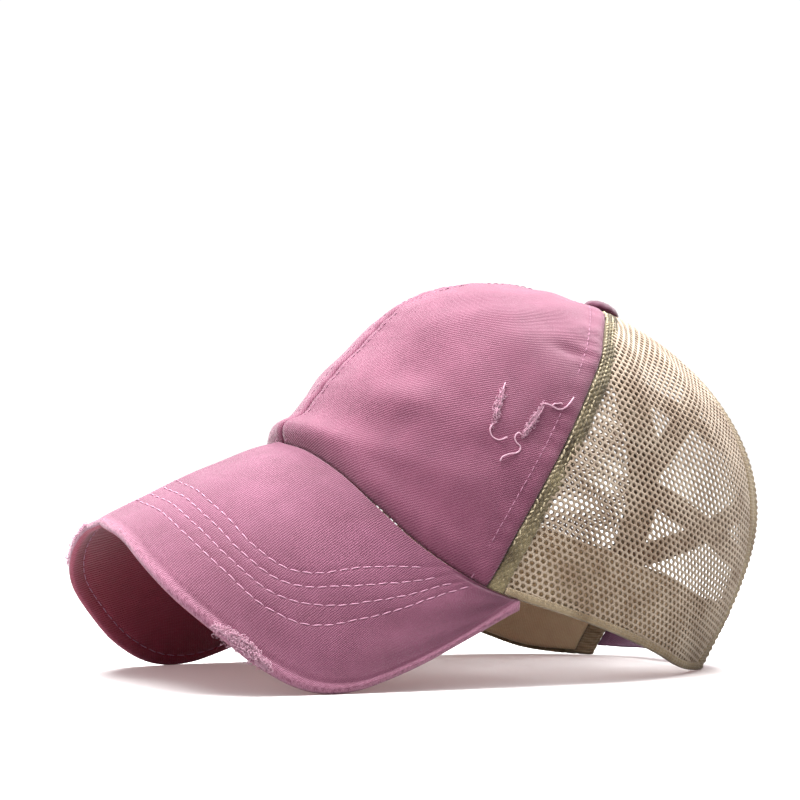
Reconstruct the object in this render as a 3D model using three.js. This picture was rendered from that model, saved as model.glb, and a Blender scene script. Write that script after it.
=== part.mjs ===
// Ponytail baseball cap at rest on a table: washed twill front, net sides and back, laced opening.
// The bill points along -Y, the wearer's left is +X and up is +Z.
import * as THREE from "three";

// Crown: a dome that is tilted back, in millimetres and degrees
const CROWN_HALF_WIDTH = 83.5;
const CROWN_HALF_LENGTH = 111;
const CROWN_HEIGHT = 114;
const CROWN_SQUARENESS = 2.15;
const CROWN_FRONT_SQUARENESS = 1.88;
const CROWN_TILT = 24.4;
const CROWN_MIDDLE_HEIGHT = 37;
const RIM_FRONT_HEIGHT = 89;
const FOLD_DEPTH = 3;

// Walls and the gaps that sewn pieces keep
const TWILL_WALL = 1.5;
const NET_WALL = 1.2;
const SEAM_BAND_WALL = 2;
const HEM_WALL = 2;
const SWEATBAND_WALL = 1.2;
const STRAP_WALL = 1;
const CLOSURE_WALL = 1.5;
const PEAK_WALL = 3.2;
const PEAK_EDGE_WALL = 1;
const GAP = 0.3;

// Bands, straps and the opening
const SEAM_BAND_WIDTH = 6;
const HEM_WIDTH = 9;
const OPENING_HALF_WIDTH = 41;
const SWEATBAND_HEIGHT = 28;
const SWEATBAND_END_WIDTH = 6;
const RIM_TURN = 1;
const SWEATBAND_CLEARANCE = 0.6;
const CROSS_STRAP_WIDTH = 10;
const CROSS_STRAP_TUCK = 6;
const CROSS_STRAP_BOW = 0.45;
const STRAP_CLEARANCE = 1.2;
const CLOSURE_HEIGHT = 23;
const CLOSURE_SAG = 1.5;
const CLOSURE_LIFT = 3.5;
const CLOSURE_BOW = 8;

// Bill
const PEAK_LENGTH = 78;
const PEAK_SPREAD = 7;
const PEAK_CROWNING = 2.4;
const PEAK_EDGE_ROUND = 2.5;

// Button
const BUTTON_RADIUS = 7.5;
const BUTTON_HEIGHT = 4.6;
const BUTTON_SHANK_RADIUS = 2.6;
const BUTTON_SHANK_LENGTH = 4;
const CROWN_HOLE_RADIUS = 5.5;

// Net: rows and columns of six-sided gaps in each panel, and how much of its cell a gap takes
const NET_ROWS = 9;
const NET_COLUMNS = 6;
const NET_GAP_WIDTH = 0.66;
const NET_GAP_SHOULDER = 0.46;
const NET_GAP_POINT = 0.8;
const NET_BOTTOM_SHARE = 0.035;
const NET_TOP_SHARE = 0.86;

// How full the dome is against a plain one, in front, at the sides and behind, by share of its rise
const FULLNESS = [
  { rise: -0.15, front: 0.955, side: 0.95, back: 0.8 },
  { rise: 0, front: 0.97, side: 0.93, back: 0.822 },
  { rise: 0.17, front: 0.954, side: 0.915, back: 0.896 },
  { rise: 0.34, front: 0.966, side: 0.92, back: 0.99 },
  { rise: 0.5, front: 1.031, side: 0.946, back: 1.052 },
  { rise: 0.66, front: 1.07, side: 0.97, back: 1.084 },
  { rise: 0.83, front: 1.06, side: 0.986, back: 1.088 },
  { rise: 1, front: 1.041, side: 1, back: 1.072 },
];

// Height of the rim above the table, as a share of its height in front, by azimuth from the front
const RIM = [
  { azimuth: 0, height: 1 },
  { azimuth: 10, height: 0.965 },
  { azimuth: 20, height: 0.875 },
  { azimuth: 30, height: 0.744 },
  { azimuth: 40, height: 0.61 },
  { azimuth: 50, height: 0.5 },
  { azimuth: 60, height: 0.413 },
  { azimuth: 70, height: 0.352 },
  { azimuth: 80, height: 0.304 },
  { azimuth: 90, height: 0.256 },
  { azimuth: 105, height: 0.178 },
  { azimuth: 120, height: 0.096 },
  { azimuth: 132, height: 0.032 },
  { azimuth: 141, height: 0.009 },
  { azimuth: 150, height: 0.001 },
  { azimuth: 180, height: 0.001 },
];

// Azimuth of the seam between twill and net
const SIDE_SEAM = [
  { rise: -0.1, azimuth: 61 },
  { rise: 0.08, azimuth: 64 },
  { rise: 0.23, azimuth: 66.5 },
  { rise: 0.38, azimuth: 68 },
  { rise: 0.52, azimuth: 69 },
  { rise: 0.75, azimuth: 67 },
  { rise: 1, azimuth: 66 },
];

// Half width of the opening as a share of its half width at the rim
const OPENING = [
  { rise: 0, width: 1 },
  { rise: 0.15, width: 0.99 },
  { rise: 0.28, width: 0.965 },
  { rise: 0.4, width: 0.89 },
  { rise: 0.54, width: 0.77 },
  { rise: 0.66, width: 0.61 },
  { rise: 0.76, width: 0.42 },
  { rise: 0.84, width: 0.21 },
  { rise: 0.9, width: 0 },
];

// Folds and dents of the crown: middle, reach in degrees and in rise, and depth against FOLD_DEPTH
const FOLDS = [
  { azimuth: 4, rise: 0.08, wide: 22, tall: 0.03, out: 0.9 },
  { azimuth: 12, rise: 0.15, wide: 10, tall: 0.03, out: -0.15 },
  { azimuth: 25, rise: 0.21, wide: 15, tall: 0.05, out: 0.6 },
  { azimuth: -16, rise: 0.25, wide: 12, tall: 0.05, out: 0.5 },
  { azimuth: 44, rise: 0.09, wide: 11, tall: 0.06, out: 0.35 },
  { azimuth: -42, rise: 0.34, wide: 16, tall: 0.06, out: -0.4 },
  { azimuth: 58, rise: 0.5, wide: 7, tall: 0.02, out: -0.35 },
  { azimuth: 10, rise: 0.86, wide: 60, tall: 0.05, out: -0.6 },
  { azimuth: 100, rise: 0.3, wide: 14, tall: 0.12, out: -0.5 },
  { azimuth: -105, rise: 0.4, wide: 18, tall: 0.12, out: -0.6 },
];

// Outer edge of the bill, from its middle to its tail: reach forward and outward as shares of its
// length, and height above the table as a share of the sewn edge's height
const PEAK_EDGE = [
  { across: 0, forward: 0.95, out: 0, height: 0.665 },
  { across: 0.1, forward: 0.965, out: 0.072, height: 0.633 },
  { across: 0.2, forward: 0.985, out: 0.138, height: 0.554 },
  { across: 0.3, forward: 0.965, out: 0.188, height: 0.45 },
  { across: 0.4, forward: 0.882, out: 0.212, height: 0.32 },
  { across: 0.5, forward: 0.78, out: 0.21, height: 0.155 },
  { across: 0.6, forward: 0.655, out: 0.184, height: 0.02 },
  { across: 0.65, forward: 0.575, out: 0.164, height: 0 },
  { across: 0.7, forward: 0.489, out: 0.14, height: 0.03 },
  { across: 0.8, forward: 0.307, out: 0.092, height: 0.225 },
  { across: 0.9, forward: 0.14, out: 0.05, height: 0.535 },
  { across: 1, forward: 0.01, out: 0.03, height: 0.895 },
];

// Cross straps, from their high end to their low end, by share of rise along the opening's edges.
// The side is 1 where the high end is on the wearer's left, and an outer strap lies over an inner one.
const CROSS_STRAPS = [
  { name: "cross_strap_upper_outer", side: 1, high: 0.715, low: 0.505, layer: 1 },
  { name: "cross_strap_upper_inner", side: -1, high: 0.715, low: 0.505, layer: -1 },
  { name: "cross_strap_lower_outer", side: 1, high: 0.407, low: 0.235, layer: 1 },
  { name: "cross_strap_lower_inner", side: -1, high: 0.407, low: 0.235, layer: -1 },
];

const TWILL = { color: 0xb4638a, roughness: 0.9, metalness: 0 };
const TWILL_DARK = { color: 0x7c3a5c, roughness: 0.9, metalness: 0 };
const NET = { color: 0xc8b494, roughness: 0.7, metalness: 0 };
const WEBBING = { color: 0xb69c7c, roughness: 0.8, metalness: 0 };
const SWEATBAND = { color: 0xd2b88f, roughness: 0.85, metalness: 0 };

const lerp = THREE.MathUtils.lerp;
const clamp = THREE.MathUtils.clamp;
const radians = THREE.MathUtils.degToRad;
const degrees = THREE.MathUtils.radToDeg;

// A smooth curve through one column of a table
function column(rows, at, name) {
  const places = rows.map((row) => row[at]);
  const values = rows.map((row) => row[name]);
  const interpolant = new THREE.CubicInterpolant(places, values, 1);
  return (place) => interpolant.evaluate(place)[0];
}

const fullness = {
  front: column(FULLNESS, "rise", "front"),
  side: column(FULLNESS, "rise", "side"),
  back: column(FULLNESS, "rise", "back"),
};
const rimShare = column(RIM, "azimuth", "height");
const sideSeam = column(SIDE_SEAM, "rise", "azimuth");
const openingShare = column(OPENING, "rise", "width");
const peakForward = column(PEAK_EDGE, "across", "forward");
const peakOut = column(PEAK_EDGE, "across", "out");
const peakHeight = column(PEAK_EDGE, "across", "height");

// Distance from the dome's axis, for an azimuth in degrees and a rise from 0 (middle level) to 1 (top)
function domeRadius(azimuth, rise) {
  const sin = Math.sin(radians(azimuth));
  const cos = Math.cos(radians(azimuth));
  const n = lerp(CROWN_SQUARENESS, CROWN_FRONT_SQUARENESS, Math.max(0, cos));
  const across = Math.abs(sin / CROWN_HALF_WIDTH) ** n;
  const along = Math.abs(cos / CROWN_HALF_LENGTH) ** n;
  const plan = (across + along) ** (-1 / n);
  const full =
    Math.max(0, cos) ** 2 * fullness.front(rise) +
    sin ** 2 * fullness.side(rise) +
    Math.max(0, -cos) ** 2 * fullness.back(rise);
  return plan * full * Math.cos(radians(90 * rise));
}

function dome(azimuth, rise) {
  const radius = domeRadius(azimuth, rise);
  const level = CROWN_HEIGHT * Math.sin(radians(90 * rise));
  const forward = radius * Math.cos(radians(azimuth));
  const tilt = radians(CROWN_TILT);
  return new THREE.Vector3(
    radius * Math.sin(radians(azimuth)),
    level * Math.sin(tilt) - forward * Math.cos(tilt),
    level * Math.cos(tilt) + forward * Math.sin(tilt) + CROWN_MIDDLE_HEIGHT,
  );
}

function domeNormal(azimuth, rise) {
  const turn = 0.5;
  const step = 0.004;
  const around = dome(azimuth + turn, rise).sub(dome(azimuth - turn, rise));
  const up = dome(azimuth, rise + step).sub(dome(azimuth, rise - step));
  return around.cross(up).normalize();
}

function foldDepth(azimuth, rise) {
  let out = 0;
  for (const fold of FOLDS) {
    const wide = (azimuth - fold.azimuth) / fold.wide;
    const tall = (rise - fold.rise) / fold.tall;
    out += fold.out * Math.exp(-(wide * wide + tall * tall));
  }
  return out * FOLD_DEPTH;
}

// A point of the crown's skin, moved outwards by a distance
function crown(azimuth, rise, out = 0) {
  const normal = domeNormal(azimuth, rise);
  return dome(azimuth, rise).addScaledVector(normal, foldDepth(azimuth, rise) + out);
}

// The same point on a band that runs smooth behind the folds
function smoothCrown(azimuth, rise, out) {
  return dome(azimuth, rise).addScaledVector(domeNormal(azimuth, rise), out);
}

// The rise at which the crown passes a height above the table
function riseAtHeight(azimuth, height, out = 0) {
  let low = -0.15;
  let high = 0.5;
  for (let i = 0; i < 30; i++) {
    const middle = (low + high) / 2;
    const point = dome(azimuth, middle).addScaledVector(domeNormal(azimuth, middle), out);
    if (point.z < height) low = middle;
    else high = middle;
  }
  return (low + high) / 2;
}

function rimRise(azimuth) {
  return riseAtHeight(azimuth, RIM_FRONT_HEIGHT * rimShare(Math.abs(azimuth)));
}

// Where the panels stop under the button
function topRise(azimuth) {
  return degrees(Math.acos(CROWN_HOLE_RADIUS / domeRadius(azimuth, 0))) / 90;
}

// Change of azimuth, in degrees, along a length of the crown's skin at a level
function turnFor(length, rise) {
  return degrees(length / domeRadius(100, rise));
}

// Share of rise that a length up the crown takes
function riseFor(length, azimuth, rise) {
  const step = 0.01;
  return (length * 2 * step) / dome(azimuth, rise + step).distanceTo(dome(azimuth, rise - step));
}

// Width of a sewn band at a level: narrower where it runs together under the button
function bandWidth(width, rise) {
  return Math.min(width, 0.55 * domeRadius(180, rise));
}

// Azimuth of a line that runs at a distance to the side of the cap's middle, behind
function azimuthBehind(distance, rise) {
  let azimuth = 160;
  for (let i = 0; i < 8; i++) {
    const sine = clamp(distance / domeRadius(azimuth, rise), 0, 0.95);
    azimuth = 180 - degrees(Math.asin(sine));
  }
  return azimuth;
}

function openingHalfWidth(rise) {
  return Math.max(GAP / 2, OPENING_HALF_WIDTH * openingShare(rise));
}

const openingEdge = (rise) => azimuthBehind(openingHalfWidth(rise), rise);
const hemEdge = (rise) => azimuthBehind(openingHalfWidth(rise) + bandWidth(HEM_WIDTH, rise), rise);
const seamBandEdge = (rise) =>
  sideSeam(rise) + turnFor(bandWidth(SEAM_BAND_WIDTH, rise), rise);

const even = (count) => Array.from({ length: count + 1 }, (_, k) => k / count);

// Levels that the net panels share with the bands sewn to them
function netLevels() {
  const rows = even(NET_ROWS).map((share) => lerp(NET_BOTTOM_SHARE, NET_TOP_SHARE, share));
  const above = [0.35, 0.6, 0.8, 1].map((share) => lerp(NET_TOP_SHARE, 1, share));
  return [0, ...rows, ...above];
}

// A flat net of triangles over the unit square, in even columns between given levels
function sheet(columns, levels) {
  const places = [];
  const triangles = [];
  for (const up of levels)
    for (let i = 0; i <= columns; i++) places.push([i / columns, up]);
  for (let j = 0; j + 1 < levels.length; j++)
    for (let i = 0; i < columns; i++) {
      const a = j * (columns + 1) + i;
      const b = a + columns + 1;
      triangles.push([a, a + 1, b + 1], [a, b + 1, b]);
    }
  return { places, triangles };
}

// The same square with staggered six-sided gaps between a plain strip below and one above
function piercedSheet(columns, rows, levels) {
  const places = [];
  const triangles = [];
  const steps = 2 * columns;
  const addPlace = (across, up) => places.push([across, up]) - 1;
  const lines = levels.map((up) => {
    const line = [];
    for (let i = 0; i <= steps; i++) line.push(addPlace(i / steps, up));
    return line;
  });
  const plain = (j, i) => {
    const [below, above] = [lines[j], lines[j + 1]];
    triangles.push([below[i], below[i + 1], above[i + 1]], [below[i], above[i + 1], above[i]]);
  };
  const pierced = (j, i) => {
    const [below, above] = [lines[j], lines[j + 1]];
    const border = [below[i], below[i + 1], below[i + 2], above[i + 2], above[i + 1], above[i]];
    const middleAcross = (i + 1) / steps;
    const middleUp = (levels[j] + levels[j + 1]) / 2;
    const halfUp = (levels[j + 1] - levels[j]) / 2;
    const gap = border.map((place, k) => {
      const [across, up] = places[place];
      const tall = k % 3 === 1 ? NET_GAP_POINT : NET_GAP_SHOULDER;
      const aside = (across - middleAcross) * NET_GAP_WIDTH;
      return addPlace(middleAcross + aside, middleUp + Math.sign(up - middleUp) * halfUp * tall);
    });
    border.forEach((place, k) => {
      const next = (k + 1) % border.length;
      triangles.push([place, border[next], gap[next]], [place, gap[next], gap[k]]);
    });
  };
  for (let j = 0; j + 1 < lines.length; j++) {
    const netRow = j >= 1 && j <= rows;
    const shifted = netRow && j % 2 === 0;
    for (let i = 0; i < steps; ) {
      const whole = netRow && i + 2 <= steps && !(shifted && i === 0);
      if (whole) pierced(j, i);
      else plain(j, i);
      i += whole ? 2 : 1;
    }
  }
  return { places, triangles };
}

// A closed wall from a flat net: place(across, up, side) gives its outer (0) and inner (1) face
function wall(net, place) {
  const count = net.places.length;
  const positions = [];
  for (const side of [0, 1])
    for (const [across, up] of net.places) positions.push(...place(across, up, side).toArray());
  const index = [];
  const open = new Map();
  for (const [a, b, c] of net.triangles) {
    index.push(a, b, c, count + c, count + b, count + a);
    for (const [from, to] of [[a, b], [b, c], [c, a]]) {
      if (!open.delete(to + "," + from)) open.set(from + "," + to, [from, to]);
    }
  }
  for (const [from, to] of open.values())
    index.push(to, from, count + from, to, count + from, count + to);
  return closedGeometry(positions, index);
}

// Geometry whose faces point out, whichever way round its triangles were listed
function closedGeometry(positions, index) {
  const corner = (k) => new THREE.Vector3().fromArray(positions, 3 * index[k]);
  let volume = 0;
  for (let k = 0; k < index.length; k += 3)
    volume += corner(k).dot(corner(k + 1).cross(corner(k + 2)));
  const outward = volume > 0 ? index : index.slice().reverse();
  const geometry = new THREE.BufferGeometry();
  geometry.setAttribute("position", new THREE.Float32BufferAttribute(positions, 3));
  geometry.setIndex(outward);
  geometry.computeVertexNormals();
  return geometry;
}

// A piece of the crown between two lines of azimuth and two levels, outer face at a lift off the skin
function crownWall(net, { from, to, bottom, top, lift = 0, thickness, skin = crown }) {
  return wall(net, (across, up, side) => {
    let azimuth = from(0.3);
    let rise = 0.3;
    for (let i = 0; i < 6; i++) {
      rise = lerp(bottom(azimuth), top(azimuth), up);
      azimuth = lerp(from(rise), to(rise), across);
    }
    return skin(azimuth, rise, lift - side * thickness);
  });
}

function addMesh(group, name, geometry, look) {
  const mesh = new THREE.Mesh(geometry, new THREE.MeshStandardMaterial(look));
  mesh.name = name;
  group.add(mesh);
  return mesh;
}

// Front panels of twill, meeting in a seam at the front
function frontPanel(sign) {
  const thickness = TWILL_WALL;
  return crownWall(sheet(14, even(16)), {
    from: (rise) => sign * turnFor(GAP / 2, rise),
    to: (rise) => sign * (sideSeam(rise) - turnFor(GAP, rise)),
    bottom: rimRise,
    top: topRise,
    thickness,
  });
}

// The net folded under itself behind the twill
function seamBand(sign) {
  return crownWall(sheet(1, netLevels()), {
    from: (rise) => sign * sideSeam(rise),
    to: (rise) => sign * seamBandEdge(rise),
    bottom: rimRise,
    top: topRise,
    thickness: SEAM_BAND_WALL,
  });
}

function netPanel(sign) {
  return crownWall(piercedSheet(NET_COLUMNS, NET_ROWS, netLevels()), {
    from: (rise) => sign * (seamBandEdge(rise) + turnFor(GAP, rise)),
    to: (rise) => sign * (hemEdge(rise) - turnFor(GAP, rise)),
    bottom: rimRise,
    top: topRise,
    thickness: NET_WALL,
  });
}

function openingHem(sign) {
  return crownWall(sheet(2, netLevels()), {
    from: (rise) => sign * hemEdge(rise),
    to: (rise) => sign * openingEdge(rise),
    bottom: rimRise,
    top: topRise,
    thickness: HEM_WALL,
  });
}

// Inside the rim, from one side of the opening round the front to the other
function sweatband() {
  const end = (rise) => azimuthBehind(openingHalfWidth(rise) + SWEATBAND_END_WIDTH, rise);
  const bottom = (azimuth) => rimRise(azimuth) + riseFor(RIM_TURN, azimuth, rimRise(azimuth));
  return crownWall(sheet(60, even(4)), {
    from: (rise) => -end(rise),
    to: end,
    bottom,
    top: (azimuth) => bottom(azimuth) + riseFor(SWEATBAND_HEIGHT, azimuth, bottom(azimuth)),
    lift: -Math.max(HEM_WALL, SEAM_BAND_WALL, TWILL_WALL, NET_WALL) - SWEATBAND_CLEARANCE,
    thickness: SWEATBAND_WALL,
    skin: smoothCrown,
  });
}

// Twill band from the foot of one hem to the other, nearly straight across the opening
function closureStrap() {
  const hemFoot = azimuthBehind(OPENING_HALF_WIDTH - GAP, 0);
  const bottom = riseAtHeight(hemFoot, CLOSURE_LIFT);
  const climb = riseFor(CLOSURE_HEIGHT, hemFoot, bottom);
  const end = (up, side, turn) => {
    const rise = bottom + up * climb;
    const azimuth = azimuthBehind(openingHalfWidth(rise) - GAP, rise) + turn;
    return smoothCrown(azimuth, rise, -side * CLOSURE_WALL);
  };
  return wall(sheet(24, even(3)), (across, up, side) => {
    const aside = 2 * across - 1;
    const edge = end(up, side, 0);
    const inwards = end(up, side, 1);
    const slope = (inwards.y - edge.y) / (edge.x - inwards.x);
    const bow = 1 - Math.abs(aside) ** ((slope * edge.x) / CLOSURE_BOW);
    const sag = CLOSURE_SAG * up * (1 - aside * aside);
    return new THREE.Vector3(aside * edge.x, edge.y + CLOSURE_BOW * bow, edge.z - sag);
  });
}

// Elastic strap from one hem to the other, its ends tucked in behind them
function crossStrap({ side, high, low, layer }) {
  const depth = -HEM_WALL - STRAP_CLEARANCE - STRAP_WALL / 2;
  const tucked = (sign, rise) => {
    const inside = azimuthBehind(openingHalfWidth(rise) + CROSS_STRAP_TUCK, rise);
    return crown(sign * inside, rise, depth);
  };
  const edge = (sign, rise) => crown(sign * openingEdge(rise), rise, depth);
  const start = edge(side, high);
  const finish = edge(-side, low);
  const middleRise = (high + low) / 2;
  const outward = domeNormal(180, middleRise);
  const bow = crown(180, middleRise, depth).sub(start.clone().lerp(finish, 0.5)).dot(outward);
  const middle = (share) =>
    start
      .clone()
      .lerp(finish, share)
      .addScaledVector(outward, (bow * CROSS_STRAP_BOW + layer * STRAP_WALL) * 4 * share * (1 - share));
  const line = new THREE.CatmullRomCurve3(
    [tucked(side, high), start, middle(0.25), middle(0.5), middle(0.75), finish, tucked(-side, low)],
    false,
    "centripetal",
  );
  const normals = [
    domeNormal(side * openingEdge(high), high),
    outward,
    domeNormal(-side * openingEdge(low), low),
  ];
  return wall(sheet(18, even(1)), (along, across, face) => {
    const tangent = line.getTangentAt(along);
    const point = line.getPointAt(along);
    const half = along < 0.5 ? 0 : 1;
    const normal = normals[half].clone().lerp(normals[half + 1], 2 * along - half);
    const width = new THREE.Vector3().crossVectors(tangent, normal).normalize();
    const thick = new THREE.Vector3().crossVectors(width, tangent).normalize();
    return point
      .addScaledVector(width, (across - 0.5) * CROSS_STRAP_WIDTH)
      .addScaledVector(thick, (0.5 - face) * STRAP_WALL);
  });
}

// Bill: a strongly arched stiff sheet from the rim out to its edge
const PEAK_TAIL = sideSeam(0) + PEAK_SPREAD;

function peakSewnEdge(across) {
  const azimuth = across * PEAK_TAIL;
  const rise = rimRise(azimuth);
  const drop = riseFor(GAP, azimuth, rise);
  return crown(azimuth, rise - drop, -TWILL_WALL / 2);
}

function peakOuterEdge(across) {
  const sewn = peakSewnEdge(across);
  const share = Math.abs(across);
  return new THREE.Vector3(
    sewn.x + Math.sign(across) * peakOut(share) * PEAK_LENGTH,
    sewn.y - peakForward(share) * PEAK_LENGTH,
    sewn.z * peakHeight(share),
  );
}

function peakMiddle(across, out) {
  const point = peakSewnEdge(across).lerp(peakOuterEdge(across), out);
  point.z += PEAK_CROWNING * 4 * out * (1 - out) * (1 - Math.abs(across));
  return point;
}

function peakNormal(across, out) {
  const step = 0.01;
  const a = peakMiddle(Math.min(1, across + step), out);
  const b = peakMiddle(Math.max(-1, across - step), out);
  const c = peakMiddle(across, Math.min(1, out + step));
  const d = peakMiddle(across, Math.max(0, out - step));
  return c.sub(d).cross(a.sub(b)).normalize();
}

function peak() {
  const columns = 40;
  const rows = [0, 0.07, 0.2, 0.36, 0.52, 0.68, 0.82, 0.92, 0.97, 0.99, 1];
  const net = sheet(columns, even(rows.length - 1));
  return wall(net, (u, v, side) => {
    const across = 2 * u - 1;
    const out = rows[Math.round(v * (rows.length - 1))];
    const length = peakSewnEdge(across).distanceTo(peakOuterEdge(across));
    const fromEdge = (1 - out) * length;
    const round = Math.sqrt(1 - (1 - Math.min(1, fromEdge / PEAK_EDGE_ROUND)) ** 2);
    const thickness = lerp(PEAK_EDGE_WALL, PEAK_WALL, round);
    const azimuth = across * PEAK_TAIL;
    const sewn = domeNormal(azimuth, rimRise(azimuth));
    const normal = sewn.lerp(peakNormal(across, out), Math.min(1, out / 0.2)).normalize();
    return peakMiddle(across, out).addScaledVector(normal, (0.5 - side) * thickness);
  });
}

// Covered button with a shank through the crown's hole
function topButton() {
  const rim = 0.8;
  const profile = [new THREE.Vector2(0, -BUTTON_SHANK_LENGTH)];
  profile.push(new THREE.Vector2(BUTTON_SHANK_RADIUS, -BUTTON_SHANK_LENGTH));
  profile.push(new THREE.Vector2(BUTTON_SHANK_RADIUS, 0));
  profile.push(new THREE.Vector2(BUTTON_RADIUS - rim, 0));
  const steps = 6;
  for (let i = 0; i <= steps; i++) {
    const turn = radians((90 * i) / steps);
    profile.push(new THREE.Vector2(BUTTON_RADIUS * Math.cos(turn), rim + (BUTTON_HEIGHT - rim) * Math.sin(turn)));
  }
  profile[profile.length - 1].x = 0;
  const geometry = new THREE.LatheGeometry(profile, 20);
  geometry.rotateX(Math.PI / 2);
  return geometry;
}

const cap = new THREE.Group();
for (const [side, sign] of [["left", 1], ["right", -1]]) {
  addMesh(cap, "front_panel_" + side, frontPanel(sign), TWILL);
  addMesh(cap, "side_seam_" + side, seamBand(sign), NET);
  addMesh(cap, "mesh_panel_" + side, netPanel(sign), NET);
  addMesh(cap, "opening_hem_" + side, openingHem(sign), WEBBING);
}
addMesh(cap, "sweatband", sweatband(), SWEATBAND);
addMesh(cap, "peak", peak(), TWILL);
addMesh(cap, "closure_strap", closureStrap(), TWILL_DARK);
for (const strap of CROSS_STRAPS) addMesh(cap, strap.name, crossStrap(strap), WEBBING);

// The button stands on the crown's highest ring, leaning with it
const button = addMesh(cap, "top_button", topButton(), TWILL_DARK);
const seat = Math.max(...[0, 90, 180].map((azimuth) => {
  const rise = degrees(Math.acos(BUTTON_RADIUS / domeRadius(azimuth, 0))) / 90;
  return CROWN_HEIGHT * Math.sin(radians(90 * rise)) + Math.max(0, foldDepth(azimuth, rise));
}));
const tilt = radians(CROWN_TILT);
button.rotation.x = -tilt;
button.position.set(
  0,
  (seat + GAP) * Math.sin(tilt),
  (seat + GAP) * Math.cos(tilt) + CROWN_MIDDLE_HEIGHT,
);

// The origin is on the table under the middle of the cap
const box = new THREE.Box3().setFromObject(cap, true);
cap.position.set(0, -(box.min.y + box.max.y) / 2, -box.min.z);

export default cap;
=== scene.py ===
# A ponytail baseball cap at rest on a table: washed twill in front, net behind, crossed straps.
# Lengths are in millimetres until a mesh is made. The bill points along -Y, and +X is the left.
import math

import bpy
import numpy as np
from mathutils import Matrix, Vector


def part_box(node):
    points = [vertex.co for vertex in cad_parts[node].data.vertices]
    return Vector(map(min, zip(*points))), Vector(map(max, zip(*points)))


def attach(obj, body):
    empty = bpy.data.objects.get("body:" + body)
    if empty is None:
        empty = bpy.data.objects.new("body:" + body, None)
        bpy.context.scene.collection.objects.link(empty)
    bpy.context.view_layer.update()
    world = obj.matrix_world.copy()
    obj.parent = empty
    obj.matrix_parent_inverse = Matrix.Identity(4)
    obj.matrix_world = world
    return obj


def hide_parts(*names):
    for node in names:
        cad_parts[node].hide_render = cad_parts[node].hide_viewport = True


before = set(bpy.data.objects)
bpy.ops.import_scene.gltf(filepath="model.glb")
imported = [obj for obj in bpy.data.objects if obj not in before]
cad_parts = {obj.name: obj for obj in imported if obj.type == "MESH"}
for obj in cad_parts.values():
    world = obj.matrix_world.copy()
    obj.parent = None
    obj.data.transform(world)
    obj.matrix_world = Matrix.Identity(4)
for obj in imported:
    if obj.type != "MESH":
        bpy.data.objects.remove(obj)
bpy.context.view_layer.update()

MM = 0.001

# The crown's dome, as the solids have it
CROWN_HALF_WIDTH = 83.5
CROWN_HALF_LENGTH = 111
CROWN_HEIGHT = 114
CROWN_SQUARENESS = 2.15
CROWN_FRONT_SQUARENESS = 1.88
CROWN_TILT = 24.4
CROWN_MIDDLE_HEIGHT = 37
RIM_FRONT_HEIGHT = 89
FOLD_DEPTH = 3
CROWN_HOLE_RADIUS = 5.5
CROWN_SHIFT = np.array([0, 33.611, 0.156])

PIECE_GAP = 0.3
TWILL_WALL = 1.5
NET_WALL = 0.7
PEAK_WALL = 3.2
PEAK_LENGTH = 78
PEAK_SPREAD = 7
PEAK_CROWNING = 2.4
SEAM_BAND_WIDTH = 6
HEM_WIDTH = 9
OPENING_HALF_WIDTH = 41
SWEATBAND_HEIGHT = 28

FULLNESS = {
    "rise": [-0.15, 0, 0.17, 0.34, 0.5, 0.66, 0.83, 1],
    "front": [0.955, 0.97, 0.954, 0.966, 1.031, 1.07, 1.06, 1.041],
    "side": [0.95, 0.93, 0.915, 0.92, 0.946, 0.97, 0.986, 1],
    "back": [0.8, 0.822, 0.896, 0.99, 1.052, 1.084, 1.088, 1.072],
}
RIM = {
    "azimuth": [0, 10, 20, 30, 40, 50, 60, 70, 80, 90, 105, 120, 132, 141, 150, 180],
    "height": [1, 0.965, 0.875, 0.744, 0.61, 0.5, 0.413, 0.352, 0.304, 0.256, 0.178, 0.096, 0.032,
               0.009, 0.001, 0.001],
}
SIDE_SEAM = {
    "rise": [-0.1, 0.08, 0.23, 0.38, 0.52, 0.75, 1],
    "azimuth": [61, 64, 66.5, 68, 69, 67, 66],
}
OPENING = {
    "rise": [0, 0.15, 0.28, 0.4, 0.54, 0.66, 0.76, 0.84, 0.9],
    "width": [1, 0.99, 0.965, 0.89, 0.77, 0.61, 0.42, 0.21, 0],
}
PEAK_EDGE = {
    "across": [0, 0.1, 0.2, 0.3, 0.4, 0.5, 0.6, 0.65, 0.7, 0.8, 0.9, 1],
    "forward": [0.95, 0.965, 0.985, 0.965, 0.882, 0.78, 0.655, 0.575, 0.489, 0.307, 0.14, 0.01],
    "out": [0, 0.072, 0.138, 0.188, 0.212, 0.21, 0.184, 0.164, 0.14, 0.092, 0.05, 0.03],
    "height": [0.665, 0.633, 0.554, 0.45, 0.32, 0.155, 0.02, 0, 0.03, 0.225, 0.535, 0.895],
}
# Folds and dents: middle in degrees and rise, reach in both, and depth against FOLD_DEPTH
FOLDS = [
    (4, 0.08, 22, 0.03, 0.9),
    (12, 0.15, 10, 0.03, -0.15),
    (25, 0.21, 15, 0.05, 0.6),
    (-16, 0.25, 12, 0.05, 0.5),
    (44, 0.09, 11, 0.06, 0.35),
    (-42, 0.34, 16, 0.06, -0.4),
    (58, 0.5, 7, 0.02, -0.35),
    (10, 0.86, 60, 0.05, -0.6),
    (100, 0.3, 14, 0.12, -0.5),
    (-105, 0.4, 18, 0.12, -0.6),
]


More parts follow.
